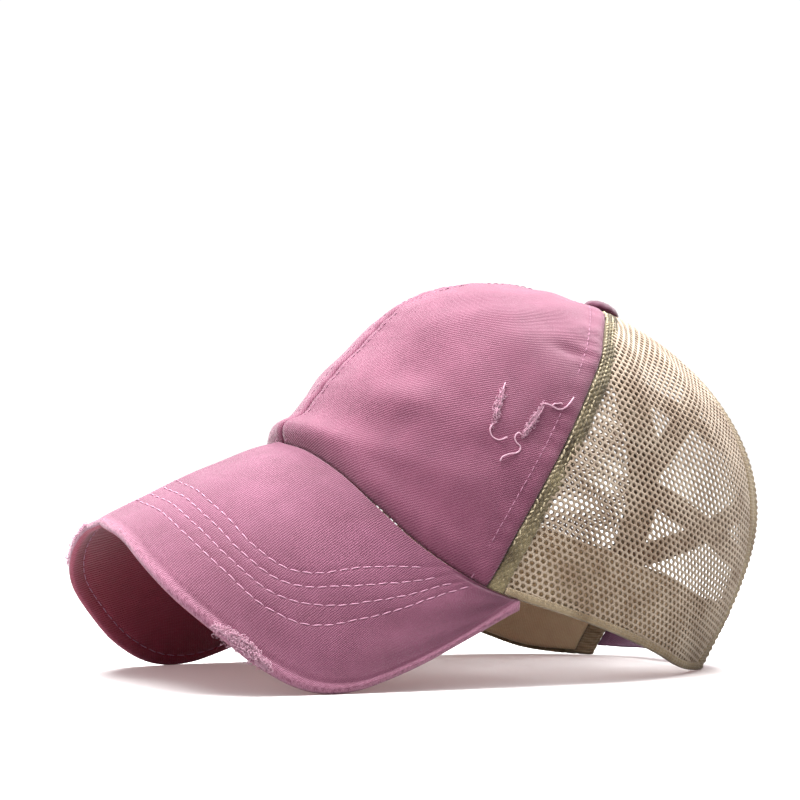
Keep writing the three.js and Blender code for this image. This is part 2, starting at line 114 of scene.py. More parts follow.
def column(table, at, name):
    """The smooth curve through one column of a table that the solids were made with."""
    places = np.array(table[at], float)
    values = np.array(table[name], float)
    last = len(places) - 1

    def curve(place):
        place = np.clip(place, places[0], places[-1])
        after = np.clip(np.searchsorted(places, place, side="right"), 1, last)
        before = after - 1
        further_back = np.where(before > 0, before - 1, after)
        further_on = np.where(after < last, after + 1, before)
        start = places[before]
        stop = places[after]
        half = (stop - start) / 2
        pull_back = half / (start - places[further_back])
        pull_on = half / (places[further_on] - stop)
        p = (place - start) / (stop - start)
        return (
            values[further_back] * pull_back * (2 * p**2 - p**3 - p)
            + values[before] * ((1 + pull_back) * p**3 - (1.5 + 2 * pull_back) * p**2
                                + (pull_back - 0.5) * p + 1)
            + values[after] * ((1.5 + pull_on) * p**2 - (1 + pull_on) * p**3 + 0.5 * p)
            + values[further_on] * pull_on * (p**3 - p**2)
        )

    return curve


full_front = column(FULLNESS, "rise", "front")
full_side = column(FULLNESS, "rise", "side")
full_back = column(FULLNESS, "rise", "back")
rim_share = column(RIM, "azimuth", "height")
side_seam = column(SIDE_SEAM, "rise", "azimuth")
opening_share = column(OPENING, "rise", "width")
peak_forward = column(PEAK_EDGE, "across", "forward")
peak_out = column(PEAK_EDGE, "across", "out")
peak_height = column(PEAK_EDGE, "across", "height")


def lerp(a, b, share):
    return a + (b - a) * share


def unit(vectors):
    return vectors / np.linalg.norm(vectors, axis=-1, keepdims=True)


def bump(x):
    return np.exp(-np.square(x))


def dome_radius(azimuth, rise):
    sin = np.sin(np.radians(azimuth))
    cos = np.cos(np.radians(azimuth))
    n = lerp(CROWN_SQUARENESS, CROWN_FRONT_SQUARENESS, np.maximum(0, cos))
    plan = (np.abs(sin / CROWN_HALF_WIDTH) ** n + np.abs(cos / CROWN_HALF_LENGTH) ** n) ** (-1 / n)
    full = (
        np.maximum(0, cos) ** 2 * full_front(rise)
        + sin**2 * full_side(rise)
        + np.maximum(0, -cos) ** 2 * full_back(rise)
    )
    return plan * full * np.cos(np.radians(90 * rise))


def dome(azimuth, rise):
    radius = dome_radius(azimuth, rise)
    level = CROWN_HEIGHT * np.sin(np.radians(90 * rise))
    forward = radius * np.cos(np.radians(azimuth))
    sin = math.sin(math.radians(CROWN_TILT))
    cos = math.cos(math.radians(CROWN_TILT))
    place = [
        radius * np.sin(np.radians(azimuth)),
        level * sin - forward * cos,
        level * cos + forward * sin + CROWN_MIDDLE_HEIGHT,
    ]
    return np.stack(place, -1) + CROWN_SHIFT


def dome_normal(azimuth, rise):
    turn = 0.5
    step = 0.004
    around = dome(azimuth + turn, rise) - dome(azimuth - turn, rise)
    up = dome(azimuth, rise + step) - dome(azimuth, rise - step)
    return unit(np.cross(around, up))


def fold_depth(azimuth, rise):
    out = sum(
        share * bump((azimuth - turn) / wide) * bump((rise - level) / tall)
        for turn, level, wide, tall, share in FOLDS
    )
    return FOLD_DEPTH * out


def crown(azimuth, rise, out):
    """A point of the crown's skin, moved outwards by a distance."""
    azimuth, rise = np.broadcast_arrays(np.asarray(azimuth, float), np.asarray(rise, float))
    away = fold_depth(azimuth, rise) + out
    return dome(azimuth, rise) + dome_normal(azimuth, rise) * np.asarray(away)[..., None]


def rise_at_height(azimuth, height):
    low = np.full(np.shape(azimuth), -0.15)
    high = np.full(np.shape(azimuth), 0.5)
    for _ in range(30):
        middle = (low + high) / 2
        under = dome(azimuth, middle)[..., 2] - CROWN_SHIFT[2] < height
        low = np.where(under, middle, low)
        high = np.where(under, high, middle)
    return (low + high) / 2


AZIMUTHS = np.linspace(0, 180, 181)
RIM_RISES = rise_at_height(AZIMUTHS, RIM_FRONT_HEIGHT * rim_share(AZIMUTHS))


def rim_rise(azimuth):
    return np.interp(np.abs(azimuth), AZIMUTHS, RIM_RISES)


def top_rise(azimuth):
    return np.degrees(np.arccos(CROWN_HOLE_RADIUS / dome_radius(azimuth, 0.0))) / 90


def turn_for(length, rise):
    return np.degrees(length / dome_radius(100.0, rise))


def rise_for(length, azimuth, rise):
    step = 0.01
    climb = dome(azimuth, rise + step) - dome(azimuth, rise - step)
    return length * 2 * step / np.linalg.norm(climb, axis=-1)


def band_width(width, rise):
    return np.minimum(width, 0.55 * dome_radius(180.0, rise))


def azimuth_behind(distance, rise):
    azimuth = np.full(np.shape(rise), 160.0)
    for _ in range(8):
        sine = np.clip(distance / dome_radius(azimuth, rise), 0, 0.95)
        azimuth = 180 - np.degrees(np.arcsin(sine))
    return azimuth


def opening_half_width(rise):
    return np.maximum(PIECE_GAP / 2, OPENING_HALF_WIDTH * opening_share(rise))


def opening_edge(rise):
    return azimuth_behind(opening_half_width(rise), rise)


def hem_edge(rise):
    return azimuth_behind(opening_half_width(rise) + band_width(HEM_WIDTH, rise), rise)


def seam_band_edge(rise):
    return side_seam(rise) + turn_for(band_width(SEAM_BAND_WIDTH, rise), rise)


def between(across, up, start, end, bottom, top):
    """Azimuth and rise of places in a piece between two lines of azimuth and two levels."""
    rise = np.full(np.shape(across), 0.3)
    azimuth = start(rise) + 0 * rise
    for _ in range(6):
        rise = lerp(bottom(azimuth), top(azimuth), up)
        azimuth = lerp(start(rise), end(rise), across)
    return azimuth, rise


# Meshes

def link(thing):
    bpy.context.scene.collection.objects.link(thing)
    return thing


def make_piece(name, points, faces, materials, uv=None, face_slots=None):
    """A mesh object from points in millimetres, with its faces pointing out."""
    mesh = bpy.data.meshes.new(name)
    mesh.from_pydata((np.asarray(points) * MM).tolist(), [], [list(map(int, f)) for f in faces])
    if uv is not None:
        layer = mesh.uv_layers.new(name="cloth")
        corners = np.empty(len(mesh.loops), dtype=np.int32)
        mesh.loops.foreach_get("vertex_index", corners)
        layer.data.foreach_set("uv", np.asarray(uv, float)[corners].ravel())
    for material in materials:
        mesh.materials.append(material)
    if face_slots is not None:
        mesh.polygons.foreach_set("material_index", np.asarray(face_slots, dtype=np.int32))
    mesh.polygons.foreach_set("use_smooth", [True] * len(mesh.polygons))
    mesh.update()
    return link(bpy.data.objects.new(name, mesh))


def unit_grid(columns, rows):
    """Shares across and up, from 0 to 1, at the points of a grid."""
    return np.meshgrid(np.linspace(0, 1, columns), np.linspace(0, 1, rows))


def grid_quads(grid):
    """Numbers of a grid's points, and the four corners of each of its faces."""
    index = np.arange(grid.shape[0] * grid.shape[1]).reshape(grid.shape[:2])
    corners = [index[:-1, :-1], index[:-1, 1:], index[1:, 1:], index[1:, :-1]]
    return index, np.stack(corners, -1).reshape(-1, 4)


def ring_faces(rings, sides):
    """Faces between rings of points that follow one another, with both ends closed."""
    faces = [
        (j * sides + i, j * sides + (i + 1) % sides, (j + 1) * sides + (i + 1) % sides,
         (j + 1) * sides + i)
        for j in range(rings - 1)
        for i in range(sides)
    ]
    faces.append(tuple(range(sides))[::-1])
    faces.append(tuple((rings - 1) * sides + i for i in range(sides)))
    return faces


def running_length(steps, axis=0):
    """Length from the start to each point, from the steps between points."""
    lengths = np.cumsum(np.linalg.norm(steps, axis=-1), axis=axis)
    start = np.zeros_like(np.take(lengths, [0], axis=axis))
    return np.concatenate([start, lengths], axis=axis)


def cloth_uv(grid):
    """Place of each point of a grid on the flat cloth, in metres."""
    u = running_length(np.diff(grid, axis=1), axis=1)
    u -= u[:, u.shape[1] // 2][:, None]
    v = running_length(np.diff(grid, axis=0))
    v = v * 0.5 + v[:, [v.shape[1] // 2]] * 0.5
    return np.stack([u, v], -1) * MM


def wall_piece(name, outer, inner, materials):
    """A closed wall between two grids of points; the second material is for its inner face."""
    index, quads = grid_quads(outer)
    back = index.size + quads[:, ::-1]
    loop = np.concatenate([index[0, :-1], index[:-1, -1], index[-1, :0:-1], index[:0:-1, 0]])
    following = np.roll(loop, -1)
    sides = np.stack([following, loop, index.size + loop, index.size + following], -1)
    faces = np.concatenate([quads, back, sides])
    points = np.concatenate([outer.reshape(-1, 3), inner.reshape(-1, 3)])
    p, q, r, s = (points[faces[:, k]] - points.mean(0) for k in range(4))
    volume = np.einsum("ij,ij->", p, np.cross(q, r)) + np.einsum("ij,ij->", p, np.cross(r, s))
    if volume < 0:
        faces = faces[:, ::-1]
    flat = np.concatenate([cloth_uv(outer).reshape(-1, 2)] * 2)
    slots = np.zeros(len(faces), int)
    if len(materials) > 1:
        slots[len(quads):2 * len(quads)] = 1
    return make_piece(name, points, faces, materials, flat, slots)


def crown_piece(name, counts, lines, thickness, materials, relief):
    """A piece of the crown between lines of azimuth and levels, with a relief."""
    across, up = unit_grid(counts[0] + 1, counts[1] + 1)
    azimuth, rise = between(across, up, *lines)
    raised = relief(azimuth, rise, across, up)
    outer = crown(azimuth, rise, raised)
    return wall_piece(name, outer, crown(azimuth, rise, raised - thickness), materials)


# Geometry Nodes for what repeats

def new_tree(name, inputs):
    tree = bpy.data.node_groups.new(name, "GeometryNodeTree")
    tree.interface.new_socket("Geometry", in_out="INPUT", socket_type="NodeSocketGeometry")
    for label, kind in inputs:
        tree.interface.new_socket(label, in_out="INPUT", socket_type="NodeSocket" + kind)
    tree.interface.new_socket("Geometry", in_out="OUTPUT", socket_type="NodeSocketGeometry")
    return tree, tree.nodes.new("NodeGroupInput"), tree.nodes.new("NodeGroupOutput")


def add_node(tree, kind, values=None, **settings):
    """A node with its settings; its values are numbers, or outputs of other nodes to link."""
    node = tree.nodes.new(kind)
    for key, value in settings.items():
        setattr(node, key, value)
    for key, value in (values or {}).items():
        if isinstance(value, bpy.types.NodeSocket):
            tree.links.new(value, node.inputs[key])
        else:
            node.inputs[key].default_value = value
    return node


def run_tree(name, carrier, tree, values):
    """Runs a tree on an object and returns its result as a plain mesh object."""
    modifier = carrier.modifiers.new(name, "NODES")
    modifier.node_group = tree
    for item in tree.interface.items_tree:
        if item.in_out == "INPUT" and item.name in values:
            modifier[item.identifier] = values[item.name]
    bpy.context.view_layer.update()
    evaluated = carrier.evaluated_get(bpy.context.evaluated_depsgraph_get())
    mesh = bpy.data.meshes.new_from_object(evaluated)
    bpy.data.objects.remove(carrier)
    mesh.name = name
    return link(bpy.data.objects.new(name, mesh))


def random_value(tree, low, high, seed):
    return add_node(tree, "FunctionNodeRandomValue", {2: low, 3: high, "Seed": seed},
                    data_type="FLOAT").outputs[1]


def random_either_way(tree, reach, seed):
    low = add_node(tree, "ShaderNodeMath", {0: reach, 1: -1.0}, operation="MULTIPLY")
    return random_value(tree, low.outputs[0], reach, seed)


def turn_on(tree, rotation, angles):
    """A rotation turned further by angles about its own axes."""
    further = add_node(tree, "ShaderNodeCombineXYZ", angles)
    return add_node(tree, "FunctionNodeRotateRotation", {0: rotation, 1: further.outputs[0]},
                    rotation_space="LOCAL").outputs[0]


def on_points(tree, points, shape, values=None):
    """A small object repeated on points."""
    shape = add_node(tree, "GeometryNodeObjectInfo", {"Object": shape}).outputs["Geometry"]
    values = {"Points": points, "Instance": shape, **(values or {})}
    return add_node(tree, "GeometryNodeInstanceOnPoints", values).outputs[0]


def finish_tree(tree, group_out, geometry, material_socket):
    realized = add_node(tree, "GeometryNodeRealizeInstances", {"Geometry": geometry})
    painted = add_node(tree, "GeometryNodeSetMaterial",
                       {"Geometry": realized.outputs[0], "Material": material_socket})
    tree.links.new(painted.outputs[0], group_out.inputs[0])


def stitch_tree():
    """Stitches, or other small shapes, at a pitch along lines that carry the cloth's normal."""
    tree, given, out = new_tree("stitches along a line", [
        ("Stitch", "Object"), ("Pitch", "Float"), ("Wobble", "Float"), ("Material", "Material")])
    curve = add_node(tree, "GeometryNodeMeshToCurve", {"Mesh": given.outputs["Geometry"]})
    points = add_node(tree, "GeometryNodeCurveToPoints",
                      {"Curve": curve.outputs[0], "Length": given.outputs["Pitch"]}, mode="LENGTH")
    normal = add_node(tree, "GeometryNodeInputNamedAttribute", {"Name": "away"},
                      data_type="FLOAT_VECTOR")
    stood = add_node(tree, "FunctionNodeAlignRotationToVector",
                     {"Vector": normal.outputs["Attribute"]}, axis="Z")
    turned = add_node(tree, "FunctionNodeAlignRotationToVector",
                      {"Rotation": stood.outputs[0], "Vector": points.outputs["Tangent"]},
                      axis="X", pivot_axis="Z")
    sway = random_either_way(tree, given.outputs["Wobble"], 4)
    placed = on_points(tree, points.outputs["Points"], given.outputs["Stitch"],
                       {"Rotation": turn_on(tree, turned.outputs[0], {"Z": sway})})
    finish_tree(tree, out, placed, given.outputs["Material"])
    return tree


def fray_tree():
    """Loose fibres strewn over a patch of cloth, each turned and scaled at random."""
    tree, given, out = new_tree("fibres over a patch", [
        ("Fibre", "Object"), ("Density", "Float"), ("Seed", "Int"), ("Lean", "Float"),
        ("Material", "Material")])
    points = add_node(tree, "GeometryNodeDistributePointsOnFaces", {
        "Mesh": given.outputs["Geometry"], "Density": given.outputs["Density"],
        "Seed": given.outputs["Seed"]})
    turned = turn_on(tree, points.outputs["Rotation"], {
        "X": random_either_way(tree, given.outputs["Lean"], 10),
        "Y": random_either_way(tree, given.outputs["Lean"], 11),
        "Z": random_value(tree, 0.0, 6.283, 12)})
    placed = on_points(tree, points.outputs["Points"], given.outputs["Fibre"], {
        "Rotation": turned, "Scale": random_value(tree, 0.5, 1.2, 13)})
    finish_tree(tree, out, placed, given.outputs["Material"])
    return tree


def net_tree():
    """Cells of net repeated over a flat cloth and joined where they meet."""
    tree, given, out = new_tree("net cells over a cloth", [
        ("Cell", "Object"), ("Across", "Int"), ("Up", "Int"), ("Width", "Float"),
        ("Height", "Float"), ("Material", "Material")])
    columns, rows = (
        add_node(tree, "GeometryNodeMeshLine", {
            "Count": given.outputs[count],
            "Offset": add_node(tree, "ShaderNodeCombineXYZ",
                               {axis: given.outputs[step]}).outputs[0],
        }).outputs[0]
        for count, axis, step in (("Across", "X", "Width"), ("Up", "Y", "Height"))
    )
    row = on_points(tree, columns, given.outputs["Cell"])
    field = add_node(tree, "GeometryNodeInstanceOnPoints", {"Points": rows, "Instance": row})
    realized = add_node(tree, "GeometryNodeRealizeInstances", {"Geometry": field.outputs[0]})
    joined = add_node(tree, "GeometryNodeMergeByDistance",
                      {"Geometry": realized.outputs[0], "Distance": 1e-5})
    finish_tree(tree, out, joined.outputs[0], given.outputs["Material"])
    return tree


def tube_points(path, radii, sides):
    """Rings of points round a path, and the faces between them, its ends closed."""
    path = np.asarray(path, float)
    tangents = unit(np.gradient(path, axis=0))
    side = unit(np.cross(tangents, [0.02, 0.03, 1.0]))
    other = np.cross(tangents, side)
    turns = np.linspace(0, 2 * math.pi, sides, endpoint=False)
    rings = [
        p + r * (np.cos(turns)[:, None] * s + np.sin(turns)[:, None] * o)
        for p, r, s, o in zip(path, radii, side, other)
    ]
    return np.concatenate(rings), ring_faces(len(path), sides)


def shape_object(name, points, faces):
    """A small shape that the trees repeat; it is taken away before the scene ends."""
    shapes.append(make_piece(name, points, faces, []))
    return shapes[-1]


def stitch_shape(name, length, radius):
    share = np.array([-0.5, -0.3, 0.0, 0.3, 0.5])
    path = np.stack([share * length, 0 * share, radius * (0.5 - 5 * share**2)], -1)
    points, faces = tube_points(path, radius * np.array([0.45, 0.9, 1, 0.9, 0.45]), 5)
    return shape_object(name, points, faces)


def fibre_shape(name, length, radius, curl):
    share = np.linspace(0, 1, 6)
    path = np.stack([
        length * 0.35 * np.sin(curl * share),
        length * 0.2 * (1 - np.cos(1.7 * curl * share)),
        length * share * (1 - 0.35 * share),
    ], -1)
    points, faces = tube_points(path, radius * np.array([1, 1, 0.95, 0.85, 0.7, 0.4]), 3)
    return shape_object(name, points, faces)


def stitch_rows(name, rows, stitch, pitch, material, wobble=0.06):
    """Rows of stitches; each row is a list of points and of the cloth's normals there."""
    points = np.concatenate([row[0] for row in rows])
    normals = np.concatenate([row[1] for row in rows])
    mesh = bpy.data.meshes.new(name)
    edges = []
    start = 0
    for line, _ in rows:
        edges += [(start + i, start + i + 1) for i in range(len(line) - 1)]
        start += len(line)
    mesh.from_pydata((points * MM).tolist(), edges, [])
    away = mesh.attributes.new("away", "FLOAT_VECTOR", "POINT")
    away.data.foreach_set("vector", normals.ravel())
    return run_tree(name, link(bpy.data.objects.new(name + "_line", mesh)), STITCHES, {
        "Stitch": stitch, "Pitch": pitch * MM, "Wobble": wobble, "Material": material})


def frays(name, patch, outward, fibre, density, seed, lean, material):
    """Fibres on a patch given by a grid of points."""
    quads = grid_quads(patch)[1]
    points = patch.reshape(-1, 3)
    corner, along, _, aside = points[quads[0]]
    if np.dot(np.cross(along - corner, aside - corner), outward) < 0:
        quads = quads[:, ::-1]
    carrier = make_piece(name + "_patch", points, quads, [])
    return run_tree(name, carrier, FRAYS, {
        "Fibre": fibre, "Density": density, "Seed": seed, "Lean": lean, "Material": material})


STITCHES = stitch_tree()
FRAYS = fray_tree()
NET = net_tree()
shapes = []


# Cloths and threads

def srgb(code):
    """A colour written as six hexadecimal digits, in linear light."""
    parts = [int(code[k:k + 2], 16) / 255 for k in (0, 2, 4)]
    return [p / 12.92 if p <= 0.04045 else ((p + 0.055) / 1.055) ** 2.4 for p in parts] + [1.0]


class Cloth:
    """A cloth material under construction: its node tree, with short ways to add to it."""

    def __init__(self, name, roughness, sheen):
        self.material = bpy.data.materials.new(name)
        self.material.use_nodes = True
        self.tree = self.material.node_tree
        self.shader = self.tree.nodes["Principled BSDF"]
        self.shader.inputs["Roughness"].default_value = roughness
        self.shader.inputs["Specular IOR Level"].default_value = 0.25
        self.shader.inputs["Sheen Weight"].default_value = sheen
        self.shader.inputs["Sheen Roughness"].default_value = 0.5
        self.place = self.node("ShaderNodeTexCoord").outputs

    def node(self, kind, values=None, **settings):
        return add_node(self.tree, kind, values, **settings)

    def noise(self, per_metre, detail=2.0, where="UV"):
        return self.node("ShaderNodeTexNoise", {
            "Vector": self.place[where], "Scale": per_metre, "Detail": detail,
            "Roughness": 0.6}).outputs["Fac"]

    def math(self, operation, a, b):
        return self.node("ShaderNodeMath", {0: a, 1: b}, operation=operation).outputs[0]

    def between(self, value, low, high, to_low=0.0, to_high=1.0):
        return self.node("ShaderNodeMapRange", {
            "Value": value, "From Min": low, "From Max": high, "To Min": to_low,
            "To Max": to_high}).outputs["Result"]

    def mix(self, share, a, b, blend="MIX"):
        node = self.node("ShaderNodeMix", data_type="RGBA", blend_type=blend)
        for socket, value in ((0, share), (6, a), (7, b)):
            if isinstance(value, bpy.types.NodeSocket):
                self.tree.links.new(value, node.inputs[socket])
            else:
                node.inputs[socket].default_value = value
        return node.outputs[2]

    def wave(self, per_metre, angle, distortion):
        """Ridges at a pitch, turned by an angle on the cloth, from 0 to 1."""
        turned = self.node("ShaderNodeMapping", {
            "Vector": self.place["UV"], "Rotation": (0.0, 0.0, math.radians(angle))})
        period = 2 * math.pi / 20
        return self.node("ShaderNodeTexWave", {
            "Vector": turned.outputs[0], "Scale": per_metre * period, "Distortion": distortion,
            "Detail": 1.0, "Detail Scale": 2.0}).outputs["Fac"]

    def colour(self, value):
        self.tree.links.new(value, self.shader.inputs["Base Color"])

    def relief(self, layers):
        """Bumps one over another; each is a height and its depth in millimetres."""
        normal = None
        for height, depth in layers:
            values = {"Height": height, "Distance": depth * MM, "Strength": 1.0}
            if normal is not None:
                values["Normal"] = normal
            normal = self.node("ShaderNodeBump", values).outputs[0]
        self.tree.links.new(normal, self.shader.inputs["Normal"])


RIB_PITCH = 0.85


def washed_twill(name, deep, pale, worn, rib_angle, speckle):
    """Cotton twill: fine diagonal ribs, a washed uneven colour, painted shade between the threads,
    and paler where it is worn and where a highlight is painted along the closure strap's fold.
    """
    cloth = Cloth(name, 0.92, sheen=0.4)
    ribs = cloth.wave(1000 / RIB_PITCH, rib_angle, 1.2)
    threads = cloth.wave(1000 / (RIB_PITCH * 0.75), rib_angle + 68, 1.5)
    grain = cloth.noise(1900.0, 2.0)
    clouds = cloth.noise(28.0, 4.0, where="Object")
    patches = cloth.noise(120.0, 3.0, where="Object")
    wash = cloth.math("ADD", cloth.math("MULTIPLY", clouds, 0.6),
                      cloth.math("MULTIPLY", patches, 0.4))
    base = cloth.mix(cloth.between(wash, 0.36, 0.64), srgb(deep), srgb(pale))
    lines = cloth.mix(cloth.between(ribs, 0.15, 0.95, 0.0, 0.3), base, srgb(worn))
    fine = cloth.mix(cloth.between(grain, 0.42, 0.72, 0.0, speckle), lines, srgb(worn))
    shade = cloth.mix(cloth.between(threads, 0.0, 0.5, 0.22, 0.0), fine, srgb(deep), "MULTIPLY")
    # Paler towards the worn colour: real wear, and on the closure strap a painted highlight along
    # its fold.
    wear_and_highlight = cloth.node("ShaderNodeAttribute", attribute_name="wear_and_highlight").outputs["Fac"]
    rough_wear_and_highlight = cloth.math("MULTIPLY", wear_and_highlight, cloth.between(cloth.noise(700.0, 3.0), 0.3, 0.6))
    cloth.colour(cloth.mix(rough_wear_and_highlight, shade, srgb(worn)))
    cloth.relief([(wash, 0.5), (ribs, 0.12), (threads, 0.06), (grain, 0.1)])
    return cloth.material


def knitted(name, deep, pale, across, along, depth):
    """Net yarn and knitted band: small ribs both ways, an uneven straw colour, and painted shade in
    the knit's hollows.
    """
    cloth = Cloth(name, 0.7, sheen=0.25)
    ribs = cloth.wave(1000 / across, 0, 0.8)
    loops = cloth.wave(1000 / along, 90, 0.8)
    knit = cloth.math("MULTIPLY", ribs, loops)
    clouds = cloth.noise(60.0, 3.0, where="Object")
    base = cloth.mix(cloth.between(clouds, 0.35, 0.65), srgb(deep), srgb(pale))
    # Painted shade: the knit's hollows are darkened towards its deep colour.
    hollow_shade = cloth.between(knit, 0.0, 0.35, 0.35, 0.0)
    cloth.colour(cloth.mix(hollow_shade, base, srgb(deep), "MULTIPLY"))
    cloth.relief([(knit, depth), (cloth.noise(2500.0, 2.0), 0.05)])
    return cloth.material


def thread(name, colour, roughness=0.6):
    cloth = Cloth(name, roughness, sheen=0.2)
    twist = cloth.noise(1500.0, 2.0, where="Object")
    deep = [c * 0.75 for c in srgb(colour)[:3]] + [1.0]
    cloth.colour(cloth.mix(cloth.between(twist, 0.35, 0.65), deep, srgb(colour)))
    cloth.relief([(twist, 0.05)])
    return cloth.material


PINK = washed_twill("washed pink twill", "6a2444", "843d5b", "b87d94", 40, 0.42)
PINK_BILL = washed_twill("washed pink bill twill", "662342", "82405f", "b67a92", 14, 0.42)
PINK_INSIDE = washed_twill("unwashed side of the twill", "a01f38", "b62c46", "bd4860", 40, 0.2)
PINK_UNDER = washed_twill("shaded twill under the bill", "98253c", "ab2f4c", "b3506c", 52, 0.2)
BUTTON_TWILL = washed_twill("dark button twill", "501d36", "682a47", "8c506d", 40, 0.2)
STRAP_TWILL = washed_twill("closure strap twill", "5f3350", "7d466c", "a8789a", 45, 0.3)
NET_YARN = knitted("straw net yarn", "b09983", "d8c5b0", 0.5, 0.6, 0.06)
SEAM_KNIT = knitted("folded net band", "67563f", "b3a27c", 1.2, 1.4, 0.5)
HEM_KNIT = knitted("ribbed hem band", "9f876a", "c2ad8e", 0.8, 1.3, 0.3)
WEBBING = knitted("elastic webbing", "876f55", "a88d6e", 0.9, 0.7, 0.15)
BAND_COTTON = washed_twill("straw sweatband twill", "dcb68e", "ecd0a8", "f4e2c6", 40, 0.3)
STITCH_PINK = thread("pale pink thread", "e6aac6")
STITCH_ROSE = thread("rose thread", "c98ba8")
STITCH_STRAW = thread("straw thread", "d8c7a4")
LOOSE_THREAD = thread("loose pale thread", "efbdd2", 0.75)
TORN_THREAD = thread("torn pale thread", "ecb9cf", 0.8)


SIDES = {"left": 1, "right": -1}


def signed(sign, line):
    return lambda rise: sign * line(rise)


def settle(piece, slot, *nodes):
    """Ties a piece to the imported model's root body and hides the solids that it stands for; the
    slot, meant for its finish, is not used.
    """
    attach(piece, "root")
    if nodes:
        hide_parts(*nodes)


# Paleness per point: real wear, and for the closure strap also its painted fold highlight.
def wear_and_highlight_by(piece, values):
    attribute = piece.data.attributes.new("wear_and_highlight", "FLOAT", "POINT")
    attribute.data.foreach_set("value", np.asarray(values, float))


def crown_row(azimuth, rise, out):
    """A row along the crown for stitches: its points and the cloth's normals."""
    return crown(azimuth, rise, out), dome_normal(azimuth, rise)


# Front panels

def front_relief(azimuth, rise, across, up):
    low = rise - rim_rise(azimuth)
    turn = np.abs(azimuth)
    from_centre = np.radians(turn) * dome_radius(azimuth, rise)
    from_seam = np.radians(side_seam(rise) - turn) * dome_radius(azimuth, rise)
    roll = 1.5 * bump((low - 0.04) / 0.028) * bump(turn / 75)
    tuck = -1.3 * bump(low / 0.012)
    centre = -0.8 * bump(from_centre / 1.3) + 0.25 * bump((from_centre - 3.2) / 1.6)
    puckers = 0.22 * np.sin(rise * 95 + 1.3 * np.sin(rise * 31)) * bump(from_centre / 9)
    side = -0.6 * bump(from_seam / 1.2) + 0.3 * bump((from_seam - 3.5) / 2.5)
    side_puckers = 0.18 * np.sin(rise * 110 + 2 * np.sin(rise * 23)) * bump((from_seam - 5) / 5)
    slack = 0.5 * np.sin(azimuth * 0.13 + rise * 9) * np.sin(rise * 21 + azimuth * 0.05)
    creases = 0.35 * np.sin(azimuth * 0.31 - rise * 26 + 1.1 * np.sin(rise * 17))
    fades = np.clip(up * (1 - up) * 5, 0, 1) * np.clip(from_centre / 12, 0, 1)
    return roll + tuck + centre + puckers + side + side_puckers + (slack + creases * 0.5) * fades


for side, sign in SIDES.items():
    lines = (
        signed(sign, lambda rise: turn_for(PIECE_GAP / 2, rise)),
        signed(sign, lambda rise: side_seam(rise) - turn_for(PIECE_GAP, rise)),
        rim_rise,
        top_rise,
    )
    panel = crown_piece("pink_panel_" + side, (100, 130), lines, TWILL_WALL, [PINK, PINK_INSIDE],
                        front_relief)
    settle(panel, "twill", "front_panel_" + side)

# Tapes that cover the seams from inside

TAPE_WALL = 0.4
TAPE_TOP = 0.945
HEMS_MEET = 0.885


def seam_tape(name, middle, bottom, top, half_width, depth, material, slot):
    across, up = np.meshgrid(np.linspace(-1, 1, 9), np.linspace(0, 1, 90))
    rise = lerp(bottom, top, up)
    azimuth = middle + across * turn_for(half_width, rise)
    face = crown(azimuth, rise, -depth)
    settle(wall_piece(name, face, crown(azimuth, rise, -depth - TAPE_WALL), [material]), slot)


above_sweatband = rim_rise(0.0) + rise_for(SWEATBAND_HEIGHT + 3.0, 0.0, rim_rise(0.0))
seam_tape("front_seam_tape", 0.0, above_sweatband, TAPE_TOP, 4.0, 2.45, PINK_INSIDE, "twill")
seam_tape("hem_tape", 180.0, HEMS_MEET, TAPE_TOP, 3.0, 3.05, HEM_KNIT, "net")

SEW = stitch_shape("seam_stitch", 2.3, 0.17)
seam_rows = []
for sign in SIDES.values():
    climb = np.linspace(0, 1, 160)
    rise = lerp(rim_rise(0.0) + 0.004, 0.93, climb)
    seam_rows.append(crown_row(sign * turn_for(3.2, rise), rise, 0.2))
    rise = lerp(rim_rise(62.0) + 0.01, 0.9, climb)
    seam_rows.append(crown_row(sign * (side_seam(rise) - turn_for(6.5, rise)), rise, 0.15))
settle(stitch_rows("crown_stitches", seam_rows, SEW, 3.1, STITCH_ROSE), "twill")


# Net panels

NET_PITCH = 2.6
NET_ROW = 2.3
NET_REFERENCE = 110.0
NET_LOWEST = -0.12
NET_HIGHEST = 0.955
NET_ABOVE_RIM = 0.008
NET_TUCK = 2.5
NET_DEPTH = 0.3
NET_ASIDE = 2
NET_CELLS = {"Across": 66, "Up": 44}


def net_cell():
    """Two staggered six-sided gaps and the yarn round them, as a flat mesh."""
    a, b = NET_PITCH, NET_ROW
    points = []
    faces = []
    for shift, floor in ((0.0, 0.0), (a / 2, b)):
        border = [(0, 0), (a / 2, 0), (a, 0), (a, b), (a / 2, b), (0, b)]
        start = len(points)
        points += [(x + shift, y + floor, 0) for x, y in border]
        for k, (x, y) in enumerate(border):
            tall = 0.86 if k % 3 == 1 else 0.44
            aside = a / 2 + (x - a / 2) * 0.7
            points.append((aside + shift, b / 2 + (y - b / 2) * tall + floor, 0))
        for k in range(6):
            n = (k + 1) % 6
            faces.append((start + k, start + n, start + 6 + n, start + 6 + k))
    return shape_object("net_cell", points, faces)


def flat_net():
    """The whole uncut net cloth, from the tree: its points and faces."""
    empty = link(bpy.data.objects.new("net_cloth", bpy.data.meshes.new("net_cloth")))
    cloth = run_tree("net_cloth", empty, NET, {
        "Cell": net_cell(), **NET_CELLS, "Width": NET_PITCH * MM, "Height": 2 * NET_ROW * MM,
        "Material": NET_YARN})
    count = len(cloth.data.vertices)
    points = np.empty(count * 3)
    cloth.data.vertices.foreach_get("co", points)
    faces = np.empty(len(cloth.data.polygons) * 4, dtype=np.int32)
    cloth.data.polygons.foreach_get("vertices", faces)
    bpy.data.objects.remove(cloth)
    return points.reshape(-1, 3)[:, :2] / MM, faces.reshape(-1, 4)


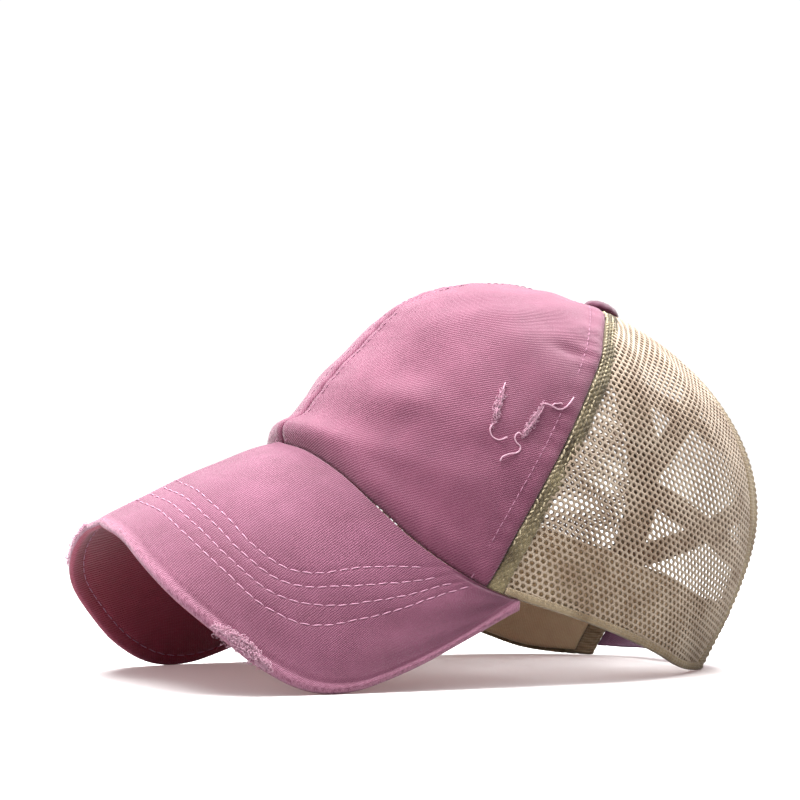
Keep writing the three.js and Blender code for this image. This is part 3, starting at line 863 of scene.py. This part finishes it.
def net_on_crown(flat):
    """Azimuth and rise of each point of the flat cloth, laid on the crown without stretching."""
    levels = np.linspace(NET_LOWEST, 0.97, 220)
    heights = running_length(np.diff(dome(NET_REFERENCE, levels), axis=0))
    turns = np.linspace(45, 185, 281)
    rise = np.interp(flat[:, 1], heights, levels)
    azimuth = np.empty(len(flat))
    tall = np.round(flat[:, 1], 3)
    order = np.argsort(tall, kind="stable")
    starts = np.flatnonzero(np.diff(tall[order], prepend=-1e9))
    for group in np.split(order, starts[1:]):
        lengths = running_length(np.diff(dome(turns, rise[group[0]]), axis=0))
        lengths -= np.interp(NET_REFERENCE, turns, lengths)
        azimuth[group] = np.interp(flat[group, 0], lengths, turns)
    return azimuth, rise


def net_wall(name, points, faces, outer, inner, material):
    """A closed wall of net: two faces, and sides round every gap and along the cut edge."""
    count = len(points)
    ends = np.roll(faces, -1, axis=1)
    edges = np.stack([faces, ends], -1).reshape(-1, 2)
    forward = edges[:, 0].astype(np.int64) * count + edges[:, 1]
    backward = edges[:, 1].astype(np.int64) * count + edges[:, 0]
    open_edges = edges[~np.isin(forward, backward)]
    a, b = open_edges[:, 0], open_edges[:, 1]
    sides = np.stack([b, a, a + count, b + count], -1)
    every = np.concatenate([faces, faces[:, ::-1] + count, sides])
    return make_piece(name, np.concatenate([outer, inner]), every, [material],
                      np.concatenate([points, points]) * MM)


flat, net_faces = flat_net()
flat[:, 0] -= flat[:, 0].max() / 2 - NET_ASIDE
net_azimuth, net_rise = net_on_crown(flat)
middle_azimuth = net_azimuth[net_faces].mean(1)
middle_rise = net_rise[net_faces].mean(1)
kept = (
    (middle_azimuth > seam_band_edge(middle_rise) - turn_for(NET_TUCK, middle_rise))
    & (middle_azimuth < hem_edge(middle_rise) + turn_for(NET_TUCK, middle_rise))
    & (middle_rise > rim_rise(middle_azimuth) + NET_ABOVE_RIM)
    & (middle_rise < NET_HIGHEST)
)
cut_faces = net_faces[kept]
used = np.unique(cut_faces)
renumber = np.zeros(len(flat), dtype=np.int64)
renumber[used] = np.arange(len(used))
cut_faces = renumber[cut_faces]
net_slack = 0.5 * np.sin(net_azimuth[used] * 0.17 + net_rise[used] * 12)
for side, sign in SIDES.items():
    turns = sign * net_azimuth[used]
    faces = cut_faces if sign > 0 else cut_faces[:, ::-1]
    outer = crown(turns, net_rise[used], net_slack - NET_DEPTH)
    inner = crown(turns, net_rise[used], net_slack - NET_DEPTH - NET_WALL)
    net = net_wall("net_panel_" + side, flat[used], faces, outer, inner, NET_YARN)
    settle(net, "net", "mesh_panel_" + side)


# Bands that edge the net

def rim_band_top(azimuth):
    return rim_rise(azimuth) + rise_for(3.2, azimuth, rim_rise(azimuth))


def seam_relief(azimuth, rise, across, up):
    loops = 0.35 * np.sin(across * 2 * math.pi * 2.5 + 2) * np.sin(rise * 330)
    rounded = -1.0 * (2 * np.abs(across - 0.5)) ** 5
    return loops + rounded + 0.2 * np.sin(rise * 47)


def hem_relief(azimuth, rise, across, up):
    ribs = 0.22 * np.sin(rise * 420) * (across > 0.45)
    groove = -0.6 * bump((across - 0.42) / 0.05)
    rounded = -0.9 * (2 * np.abs(across - 0.5)) ** 6
    return ribs + groove + rounded + 0.3 * bump((across - 0.75) / 0.2)


def rim_relief(azimuth, rise, across, up):
    return 0.5 - 0.8 * (2 * np.abs(up - 0.5)) ** 4 + 0.12 * np.sin(azimuth * 4.1)


# Name, counts, edges, top, wall, material, relief and nodes
BANDS = [
    ("net_fold_", (16, 420), side_seam, seam_band_edge, top_rise, 2.0, SEAM_KNIT, seam_relief,
     ["side_seam_"]),
    ("ribbed_hem_", (18, 420), hem_edge, opening_edge, top_rise, 2.0, HEM_KNIT, hem_relief,
     ["opening_hem_"]),
    ("rim_band_", (300, 8), seam_band_edge, hem_edge, rim_band_top, 1.6, HEM_KNIT, rim_relief, []),
]
for side, sign in SIDES.items():
    for name, counts, start, end, top, wall, knit, relief, nodes in BANDS:
        lines = (signed(sign, start), signed(sign, end), rim_rise, top)
        band = crown_piece(name + side, counts, lines, wall, [knit], relief)
        settle(band, "net", *(node + side for node in nodes))

BAND_LOOP = stitch_shape("band_loop", 1.9, 0.34)
loop_rows = []
for sign in SIDES.values():
    rise = np.linspace(0.0, 0.93, 200)
    for share in (0.1, 0.52):
        turn = lerp(side_seam(rise), seam_band_edge(rise), share)
        loop_rows.append(crown_row(sign * turn, rise, -0.25))
settle(stitch_rows("band_loops", loop_rows, BAND_LOOP, 2.3, STITCH_STRAW, 0.8), "net")

HEM_SEW = stitch_shape("hem_stitch", 2.0, 0.22)
hem_rows = []
for sign in SIDES.values():
    rise = np.linspace(0.03, 0.9, 150)
    share = lerp(hem_edge(rise), opening_edge(rise), 0.42)
    hem_rows.append(crown_row(sign * share, rise, -0.15))
settle(stitch_rows("hem_stitches", hem_rows, HEM_SEW, 2.6, STITCH_STRAW), "net")


# Sweatband

SWEATBAND_TUCK = 6
SWEATBAND_LIFT = 1.0
SWEATBAND_DEPTHS = (2.6, 3.7)


def sweatband_end(rise):
    return azimuth_behind(opening_half_width(rise) + SWEATBAND_TUCK, rise)


def sweatband_bottom(azimuth):
    return rim_rise(azimuth) + rise_for(SWEATBAND_LIFT, azimuth, rim_rise(azimuth))


def sweatband_top(azimuth):
    bottom = sweatband_bottom(azimuth)
    return bottom + rise_for(SWEATBAND_HEIGHT, azimuth, bottom)


across, up = unit_grid(321, 25)
azimuth, rise = between(across, up, signed(-1, sweatband_end), sweatband_end, sweatband_bottom,
                        sweatband_top)
ripple = 0.25 * np.sin(azimuth * 0.35) * up
band_faces = [
    dome(azimuth, rise) + dome_normal(azimuth, rise) * (ripple - depth)[..., None]
    for depth in SWEATBAND_DEPTHS
]
sweatband = wall_piece("straw_sweatband", *band_faces, [BAND_COTTON])
settle(sweatband, "sweatband_cloth", "sweatband")


# Bill

PEAK_TAIL = float(side_seam(0.0)) + PEAK_SPREAD


def peak_sewn(across):
    azimuth = across * PEAK_TAIL
    rise = rim_rise(azimuth)
    return crown(azimuth, rise - rise_for(PIECE_GAP, azimuth, rise), -TWILL_WALL / 2)


def peak_outer(across):
    sewn = peak_sewn(across)
    share = np.abs(across)
    return np.stack([
        sewn[..., 0] + np.sign(across) * peak_out(share) * PEAK_LENGTH,
        sewn[..., 1] - peak_forward(share) * PEAK_LENGTH,
        (sewn[..., 2] - CROWN_SHIFT[2]) * peak_height(share) + CROWN_SHIFT[2],
    ], -1)


def peak_middle(across, out):
    across, out = np.broadcast_arrays(np.asarray(across, float), np.asarray(out, float))
    point = lerp(peak_sewn(across), peak_outer(across), out[..., None])
    point[..., 2] += PEAK_CROWNING * 4 * out * (1 - out) * (1 - np.abs(across))
    return point


def peak_length(across):
    return np.linalg.norm(peak_outer(across) - peak_sewn(across), axis=-1)


def peak_normal(across, out):
    step = 0.01
    left = peak_middle(np.minimum(1, across + step), out)
    right = peak_middle(np.maximum(-1, across - step), out)
    ahead = peak_middle(across, np.minimum(1, out + step))
    behind = peak_middle(across, np.maximum(0, out - step))
    lifted = unit(np.cross(ahead - behind, left - right))
    azimuth = across * PEAK_TAIL
    sewn = dome_normal(azimuth, rim_rise(azimuth))
    return unit(lerp(sewn, lifted, np.minimum(1, out / 0.2)[..., None]))


# Distances from the bill's edge to its outermost and innermost rows of stitches
BILL_ROW_INSET = {
    "across": [0, 0.135, 0.234, 0.325, 0.405, 0.45, 0.511, 0.546, 0.596, 0.706, 0.82],
    "outer": [16.5, 18.5, 20.2, 20.5, 19.2, 20.3, 23.3, 26.9, 33.5, 38.5, 33.5],
    "inner": [33.5, 35.2, 37.1, 36.4, 37.5, 42.5, 53.5, 57.5, 60.5, 57.0, 46.0],
}
BILL_ROWS = 4
BILL_ROW_REACH = 0.8
BILL_ROW_STEP = 0.055
UNDER_ROW_INSET = 5.5
BILL_ROUNDING = 1.6
row_outer = column(BILL_ROW_INSET, "across", "outer")
row_inner = column(BILL_ROW_INSET, "across", "inner")


def bill_row_out(across, row):
    """How far out along the bill a row of stitches runs."""
    share = np.abs(across)
    inset = lerp(row_outer(share), row_inner(share), row / (BILL_ROWS - 1))
    return np.maximum(0.02, 1 - inset / peak_length(across))


def bill_relief(across, out):
    """Grooves along the stitching, a rolled edge and the slight waves of washed cloth."""
    length = peak_length(across)
    from_edge = (1 - out) * length
    relief = 0.25 * bump((from_edge - 2.2) / 1.4) - 0.35 * bump((from_edge - 4.6) / 0.9)
    for row in range(BILL_ROWS):
        off = (out - bill_row_out(across, row)) * length
        relief = relief - 0.3 * bump(off / 0.7)
    waves = np.sin(across * 9 + out * 7) * np.sin(out * 11 - across * 5)
    return relief + 0.25 * waves * np.clip(from_edge / 10, 0, 1)


# Distances from the bill's edge to the finely spaced lines of its grid
edge_steps = np.array([0, 0.04, 0.16, 0.36, 0.65, 1.0, 1.5, 2.2, 3.0, 3.8, 4.6, 5.4, 6.4])
bill_line = np.linspace(-1, 1, 241)
edge_out = 1 - edge_steps[:, None] / peak_length(bill_line)
inward = np.linspace(0, 1, 100)[:, None] * edge_out[-1]
bill_out = np.concatenate([inward, edge_out[::-1][1:]])
bill_across = np.broadcast_to(bill_line, bill_out.shape)
from_edge = (1 - bill_out) * peak_length(bill_line)
round_edge = np.sqrt(np.clip(1 - (1 - np.minimum(1, from_edge / BILL_ROUNDING)) ** 2, 0.0009, 1))
half_wall = PEAK_WALL / 2 * round_edge
normal = peak_normal(bill_across, bill_out)
middle = peak_middle(bill_across, bill_out)
top_relief = bill_relief(bill_across, bill_out) * round_edge
top_face = middle + normal * (half_wall + top_relief)[..., None]
under_groove = 0.4 * bump((from_edge - UNDER_ROW_INSET) / 0.7) * round_edge
under_face = middle - normal * (half_wall - under_groove)[..., None]
bill = wall_piece("pink_bill", top_face, under_face, [PINK_BILL, PINK_UNDER])
worn = np.clip(1.25 - from_edge / 3.0, 0, 1) + 0.25 * bump(from_edge / 9)
wear_and_highlight_by(bill, np.concatenate([worn.ravel(), np.clip(1.3 - from_edge / 2.4, 0, 1).ravel()]))
settle(bill, "twill", "peak")

BILL_SEW = stitch_shape("bill_stitch", 3.9, 0.21)
rows = []
for row in range(BILL_ROWS):
    reach = BILL_ROW_REACH - BILL_ROW_STEP * row
    across = np.linspace(-reach, reach, 400)
    out = bill_row_out(across, row)
    normal = peak_normal(across, out)
    raised = PEAK_WALL / 2 + bill_relief(across, out) + 0.15
    rows.append((peak_middle(across, out) + normal * raised[..., None], normal))
settle(stitch_rows("bill_stitches", rows, BILL_SEW, 4.5, STITCH_PINK, 0.09), "twill")

across = np.linspace(-0.9, 0.9, 400)
out = 1 - UNDER_ROW_INSET / peak_length(across)
normal = peak_normal(across, out)
under = (peak_middle(across, out) - normal * (PEAK_WALL / 2 - 0.3), -normal)
settle(stitch_rows("bill_under_stitches", [under], BILL_SEW, 4.5, STITCH_ROSE, 0.09), "twill")


# Worn places and tears

FIBRE = fibre_shape("fray_fibre", 2.2, 0.13, 3.6)
TEAR_FIBRE = fibre_shape("tear_fibre", 2.0, 0.12, 3.4)


def bill_patch(low, high, reach, side):
    """A strip of the bill's edge between two places across, tapered at its ends."""
    across, share = np.meshgrid(np.linspace(low, high, 30), np.linspace(0, 1, 6))
    taper = np.sin(np.linspace(0.25, math.pi - 0.25, 30))
    out = 1 - (0.3 + share * reach * taper) / peak_length(across)
    normal = peak_normal(across, out)
    return peak_middle(across, out) + normal * side * (PEAK_WALL / 2 - 0.1), normal


# Ends across the bill, reach inwards, upper or lower face, fibres per square metre, seed, lean
BILL_FRAYS = [
    ("bill_fray_side", 0.385, 0.515, 4.6, 1.0, 7.0e6, 3, 1.25),
    ("bill_fray_side_under", 0.39, 0.5, 2.0, -1.0, 2.2e6, 5, 0.9),
    ("bill_fray_front", -0.25, -0.07, 3.6, 1.0, 4.5e6, 8, 1.3),
    ("bill_fray_far", -0.56, -0.47, 2.2, 1.0, 2.6e6, 9, 1.0),
]
for name, low, high, reach, face, density, seed, lean in BILL_FRAYS:
    patch, normal = bill_patch(low, high, reach, face)
    fluff = frays(name, patch, normal[0, 0] * face, FIBRE, density, seed, lean, LOOSE_THREAD)
    settle(fluff, "twill")

TEAR_DENSITY = 6.0e6
TEAR_LEAN = 1.2
# Azimuth and rise of both ends, and seed
TEARS = [
    ("tear_front", (44.4, 0.325), (46.6, 0.212), 21),
    ("tear_back", (56.2, 0.32), (54.6, 0.215), 22),
]
for name, (turn_a, rise_a), (turn_b, rise_b), seed in TEARS:
    along, aside = np.meshgrid(np.linspace(0, 1, 24), np.linspace(-1, 1, 4))
    wide = np.sin(np.clip(along * math.pi, 0.25, 2.9))
    rise = lerp(rise_a, rise_b, along)
    turn = lerp(turn_a, turn_b, along) + turn_for(aside * wide, rise)
    patch = crown(turn, rise, front_relief(turn, rise, 0.5, 0.5) + 0.05)
    outward = dome_normal(turn, rise)[0, 0]
    fluff = frays(name, patch, outward, TEAR_FIBRE, TEAR_DENSITY, seed, TEAR_LEAN, TORN_THREAD)
    settle(fluff, "twill")

# Radius, and azimuth and rise of the places that each thread passes
LOOSE_THREADS = [
    ("thread_front_curl", 0.26, [(46.4, 0.222), (46.3, 0.208), (47.6, 0.196), (49.6, 0.194),
                                 (51, 0.206)]),
    ("thread_front_edge", 0.22, [(44.2, 0.33), (44.6, 0.31), (45.4, 0.285), (45.6, 0.26),
                                 (46.2, 0.24)]),
    ("thread_back_top", 0.3, [(56, 0.318), (57.5, 0.32), (59, 0.321), (61, 0.322), (62.6, 0.332),
                              (63.4, 0.35), (63.8, 0.365)]),
    ("thread_back_top_loop", 0.24, [(58.6, 0.321), (59.3, 0.33), (60.4, 0.335), (61.3, 0.336)]),
    ("thread_back_side", 0.2, [(56.6, 0.31), (56.4, 0.29), (55.6, 0.272), (55.4, 0.255),
                               (54.6, 0.235)]),
    ("thread_back_low", 0.28, [(54.4, 0.225), (53.2, 0.226), (52.8, 0.214), (53.6, 0.205),
                               (55, 0.2), (55.4, 0.19), (54.6, 0.18), (53.2, 0.172), (52, 0.16),
                               (51.9, 0.15)]),
]


def smooth_line(points, steps):
    """A smooth line through points, with steps between neighbours."""
    points = np.asarray(points, float)
    ends = np.concatenate([[2 * points[0] - points[1]], points, [2 * points[-1] - points[-2]]])
    line = []
    for k in range(1, len(ends) - 2):
        share = np.linspace(0, 1, steps, endpoint=False)[:, None]
        a, b, c, d = ends[k - 1:k + 3]
        line.append(0.5 * (2 * b + (c - a) * share + (2 * a - 5 * b + 4 * c - d) * share**2
                           + (3 * b - a - 3 * c + d) * share**3))
    return np.concatenate(line + [points[-1:]])


for name, radius, places in LOOSE_THREADS:
    line = smooth_line(places, 8)
    lift = 0.45 + 0.35 * np.sin(np.linspace(0, 9, len(line)))
    path = crown(*line.T, front_relief(*line.T, 0.5, 0.5) + lift)
    points, faces = tube_points(path, np.full(len(path), radius), 6)
    settle(make_piece(name, points, faces, [LOOSE_THREAD]), "twill")


# Closure strap

CLOSURE_HEIGHT = 23
CLOSURE_SAG = 1.5
CLOSURE_BOTTOM = 3.5
CLOSURE_BOW = 8
CLOSURE_HALF_WALL = 0.75
CLOSURE_FOLD = 0.86
CLOSURE_SEAMS = (0.045, 0.955)
hem_foot = azimuth_behind(np.array(OPENING_HALF_WIDTH - PIECE_GAP), np.array(0.0))
closure_low = rise_at_height(hem_foot, CLOSURE_BOTTOM)
closure_climb = rise_for(CLOSURE_HEIGHT, hem_foot, closure_low)


def closure_end(up, turn):
    rise = closure_low + up * closure_climb
    azimuth = azimuth_behind(opening_half_width(rise) - PIECE_GAP, rise) + turn
    return dome(azimuth, rise) - dome_normal(azimuth, rise) * CLOSURE_HALF_WALL


def closure_place(across, up):
    """A point of the closure strap, nearly straight from one hem to the other."""
    aside = 2 * across - 1
    edge = closure_end(up, 0.0)
    inwards = closure_end(up, 1.0)
    slope = (inwards[..., 1] - edge[..., 1]) / (edge[..., 0] - inwards[..., 0])
    bow = 1 - np.abs(aside) ** (slope * edge[..., 0] / CLOSURE_BOW)
    return np.stack([
        aside * edge[..., 0],
        edge[..., 1] + CLOSURE_BOW * bow,
        edge[..., 2] - CLOSURE_SAG * up * (1 - aside**2),
    ], -1)


def closure_normal(across, up):
    step = 0.006
    wide = closure_place(across + step, up) - closure_place(across - step, up)
    tall = closure_place(across, up + step) - closure_place(across, up - step)
    return unit(np.cross(tall, wide))


def closure_relief(across, up):
    edge = -0.7 * (2 * np.abs(up - 0.5)) ** 14
    fold = 0.35 * bump((up - CLOSURE_FOLD) / 0.05) - 0.35 * bump((up - 0.79) / 0.03)
    sewn = sum(-0.3 * bump((across - place) / 0.006) for place in CLOSURE_SEAMS)
    waves = 0.4 * np.sin(across * 17 + up * 3) * np.sin(up * 5 + across * 6)
    return edge + fold + sewn + waves


across, up = unit_grid(181, 49)
raised = closure_relief(across, up)
base, normal = closure_place(across, up), closure_normal(across, up)
outer = base + normal * (CLOSURE_HALF_WALL + raised)[..., None]
inner = base - normal * (CLOSURE_HALF_WALL - raised * 0.5)[..., None]
closure = wall_piece("closure_strap_cloth", outer, inner, [STRAP_TWILL])
# Paler at the strap's worn edges, and along its fold a painted highlight.
closure_wear_and_fold_highlight = 0.7 * (2 * np.abs(up - 0.5)) ** 16 + 0.4 * bump((up - CLOSURE_FOLD) / 0.03)
wear_and_highlight_by(closure, np.concatenate([closure_wear_and_fold_highlight.ravel(), closure_wear_and_fold_highlight.ravel()]))
settle(closure, "twill", "closure_strap")


def closure_row(across, up):
    normal = closure_normal(across, up)
    out = (0.8 + closure_relief(across, up))[..., None]
    return closure_place(across, up) + normal * out, normal


span = np.linspace(0.02, 0.98, 120)
short = np.linspace(0.06, 0.94, 20)
rows = [closure_row(span, np.full(120, level)) for level in (0.1, 0.9)]
rows += [closure_row(np.full(20, place), short) for place in (0.03, 0.045, 0.955, 0.97)]
settle(stitch_rows("closure_stitches", rows, SEW, 3.0, STITCH_ROSE), "twill")


# Cross straps

# Side and rise of the high end, rise of the low end, and how far out it runs
CROSS_STRAPS = [
    ("upper_outer", 1, 0.715, 0.505, 1),
    ("upper_inner", -1, 0.715, 0.505, -1),
    ("lower_outer", 1, 0.407, 0.235, 1),
    ("lower_inner", -1, 0.407, 0.235, -1),
]
STRAP_WIDTH = 10
STRAP_DEPTH = -3.7
STRAP_BOW = 0.45
STRAP_HALF_WALL = 0.45
STRAP_TUCK = 6.0
STRAP_RIBS = 8


def strap_grid(side, high, low, layer):
    """Places and normals over a strap, from its high end to its low end."""
    def on_edge(sign, level, tuck):
        level = np.array(level)
        distance = opening_half_width(level) + tuck
        return crown(sign * azimuth_behind(distance, level), level, STRAP_DEPTH)

    start = on_edge(side, high, 0.0)
    finish = on_edge(-side, low, 0.0)
    middle_rise = (high + low) / 2
    outward = dome_normal(180.0, middle_rise)
    bow = np.dot(crown(180.0, middle_rise, STRAP_DEPTH) - (start + finish) / 2, outward)
    reach = bow * STRAP_BOW + layer
    path = [on_edge(side, high, STRAP_TUCK), start]
    path += [lerp(start, finish, s) + outward * reach * 4 * s * (1 - s) for s in (0.25, 0.5, 0.75)]
    path += [finish, on_edge(-side, low, STRAP_TUCK)]
    line = smooth_line(path, 24)
    lengths = running_length(np.diff(line, axis=0))
    along = np.linspace(0, 1, 161)
    line = np.stack([np.interp(along * lengths[-1], lengths, line[:, k]) for k in range(3)], -1)
    tangent = unit(np.gradient(line, axis=0))
    ends = [dome_normal(float(sign * opening_edge(np.array(level))), level)
            for sign, level in ((side, high), (-side, low))]
    share = 2 * along[:, None]
    normal = np.where(share < 1, lerp(ends[0], outward, share), lerp(outward, ends[1], share - 1))
    width = unit(np.cross(tangent, normal))
    thick = unit(np.cross(width, tangent))
    return line, width, thick


for name, side, high, low, layer in CROSS_STRAPS:
    line, width, thick = strap_grid(side, high, low, layer)
    place = np.linspace(-0.5, 0.5, 25)
    ribs = 0.1 * np.cos(place * 2 * math.pi * STRAP_RIBS) - 0.35 * (2 * np.abs(place)) ** 10
    weave = 0.05 * np.sin(np.linspace(0, 420, len(line)))[:, None]
    base = line[:, None] + width[:, None] * (place * STRAP_WIDTH)[None, :, None]
    half = thick[:, None] * (STRAP_HALF_WALL + ribs + weave)[..., None]
    strap = wall_piece("elastic_" + name, base + half, base - half, [WEBBING])
    settle(strap, "webbing", "cross_strap_" + name)


# Button

BUTTON_RADIUS = 7.5
BUTTON_HEIGHT = 4.4
BUTTON_ROLL = 0.6
BUTTON_SUNK = 1.0
BUTTON_LEVELS = 22

low, high = (np.array(corner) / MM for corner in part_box("top_button"))
tilt = math.radians(CROWN_TILT)
axis = np.array([0, math.sin(tilt), math.cos(tilt)])
aside = np.array([0, math.cos(tilt), -math.sin(tilt)])
foot = high[2] - BUTTON_HEIGHT * math.cos(tilt) - BUTTON_SUNK
centre = np.array([0, (low[1] + high[1]) / 2, foot])
turns = np.linspace(0, 2 * math.pi, 49)[:-1]


def button_ring(radius):
    across = np.outer(radius * np.cos(turns), [1, 0, 0])
    return centre + across + np.outer(radius * np.sin(turns), aside)


rings = [button_ring(BUTTON_RADIUS - BUTTON_ROLL)]
for level, angle in enumerate(np.linspace(0, 1, BUTTON_LEVELS) * math.pi / 2):
    radius = BUTTON_RADIUS * math.cos(angle) if level < BUTTON_LEVELS - 1 else 0.05
    fold = 0.12 * np.sin(turns * 11 + 2) * math.cos(angle)
    height = BUTTON_ROLL + (BUTTON_HEIGHT - BUTTON_ROLL) * math.sin(angle) + fold
    rings.append(button_ring(radius) + axis * height[:, None])
cover = make_piece("button_cover", np.concatenate(rings), ring_faces(len(rings), len(turns)),
                   [BUTTON_TWILL])
settle(cover, "button_cloth", "top_button")


# Table, light and camera

def area_light(name, place, aim, size, watts):
    light = bpy.data.lights.new(name, "AREA")
    light.energy = watts
    light.shape = "RECTANGLE"
    light.size, light.size_y = size
    lamp = link(bpy.data.objects.new(name, light))
    lamp.location = place
    lamp.rotation_euler = (Vector(aim) - Vector(place)).to_track_quat("-Z", "Y").to_euler()


CAMERA_AZIMUTH = math.radians(62.7)
CAMERA_ELEVATION = math.radians(-0.75)
CAMERA_DISTANCE = 1.140
CAMERA_ASIDE = -0.05089
CAMERA_RAISE = 0.10607
CAMERA_ORIGIN = Vector((0, 0.04738, 0.000156))
SENSOR_WIDTH = 36
LENS_IN_PICTURE_WIDTHS = 2864.6 / 800

right = Vector((math.cos(CAMERA_AZIMUTH), math.sin(CAMERA_AZIMUTH), 0))
back = Vector((
    math.sin(CAMERA_AZIMUTH) * math.cos(CAMERA_ELEVATION),
    -math.cos(CAMERA_AZIMUTH) * math.cos(CAMERA_ELEVATION),
    math.sin(CAMERA_ELEVATION),
))
up_axis = back.cross(right)
camera = link(bpy.data.objects.new("camera", bpy.data.cameras.new("camera")))
camera.data.lens = SENSOR_WIDTH * LENS_IN_PICTURE_WIDTHS
camera.data.sensor_width = SENSOR_WIDTH
camera.data.clip_start = 0.05
camera.data.clip_end = 20
camera.location = (back * CAMERA_DISTANCE + right * CAMERA_ASIDE + up_axis * CAMERA_RAISE
                   + CAMERA_ORIGIN)
camera.rotation_euler = back.to_track_quat("Z", "Y").to_euler()
bpy.context.scene.camera = camera

FLOOR_REACH = 6.0
floor_mesh = bpy.data.meshes.new("table_top")
corners = [(x * FLOOR_REACH, y * FLOOR_REACH, 0) for x, y in ((-1, -1), (1, -1), (1, 1), (-1, 1))]
floor_mesh.from_pydata(corners, [], [(0, 1, 2, 3)])
link(bpy.data.objects.new("table_top", floor_mesh))


def for_camera(tree, seen, otherwise):
    """A number that the camera sees, and another that lights the object."""
    ray = tree.nodes.new("ShaderNodeLightPath").outputs["Is Camera Ray"]
    return add_node(tree, "ShaderNodeMapRange",
                    {"Value": ray, "To Min": otherwise, "To Max": seen}).outputs["Result"]


def red_and_rest(tree, red, rest):
    return add_node(tree, "ShaderNodeCombineColor",
                    {"Red": red, "Green": rest, "Blue": rest}).outputs[0]


# The paper's glow, painted light, in metres from the cap: strong and white far away, weaker near the
# cap so that the shadow there shows darker, and a painted red tinge in that shadow
GLOW_NEAR_RED, GLOW_NEAR_REST = 0.2, 0.135
GLOW_FAR = 0.7
GLOW_FROM, GLOW_TO = 0.25, 0.9

paper = bpy.data.materials.new("white paper")
paper.use_nodes = True
sheet = paper.node_tree
paper_inputs = sheet.nodes["Principled BSDF"].inputs
paper_inputs["Roughness"].default_value = 0.9
paper_inputs["Specular IOR Level"].default_value = 0.0
white = for_camera(sheet, 0.8, 0.35)
sheet.links.new(red_and_rest(sheet, white, white), paper_inputs["Base Color"])
paper_place = add_node(sheet, "ShaderNodeTexCoord").outputs["Object"]
away = add_node(sheet, "ShaderNodeVectorMath", {0: paper_place}, operation="LENGTH")
glows = [
    add_node(sheet, "ShaderNodeMapRange", {
        "Value": away.outputs["Value"], "From Min": GLOW_FROM, "From Max": GLOW_TO,
        "To Min": near, "To Max": GLOW_FAR}).outputs["Result"]
    for near in (GLOW_NEAR_RED, GLOW_NEAR_REST)
]
sheet.links.new(red_and_rest(sheet, *glows), paper_inputs["Emission Color"])
sheet.links.new(for_camera(sheet, 1.0, 0.0), paper_inputs["Emission Strength"])
floor_mesh.materials.append(paper)

SKY_LOW = 0.15
SKY_HIGH = 1.0
SKY_SEEN = 1.05
world = bpy.data.worlds.new("studio")
world.use_nodes = True
sky = world.node_tree
direction = add_node(sky, "ShaderNodeTexCoord").outputs["Generated"]
rising = add_node(sky, "ShaderNodeSeparateXYZ", {0: direction}).outputs["Z"]
glow = add_node(sky, "ShaderNodeMapRange",
                {"Value": rising, "To Min": SKY_LOW, "To Max": SKY_HIGH})
strength = for_camera(sky, SKY_SEEN, glow.outputs["Result"])
sky.nodes["Background"].inputs["Color"].default_value = (1, 1, 1, 1)
sky.links.new(strength, sky.nodes["Background"].inputs["Strength"])
bpy.context.scene.world = world
bpy.context.scene.view_settings.view_transform = "Standard"

# Place, aim and size in metres, and watts
area_light("overhead", (-0.18, -0.24, 0.93), (0, 0, 0.06), (0.7, 0.6), 23)
area_light("above_behind", (-0.1, 0.4, 0.7), (0, 0, 0.12), (0.35, 0.3), 8)
area_light("front_left", (0.25, -1.0, 0.5), (0, -0.02, 0.06), (0.4, 0.4), 1.1)

for shape in shapes:
    bpy.data.objects.remove(shape)
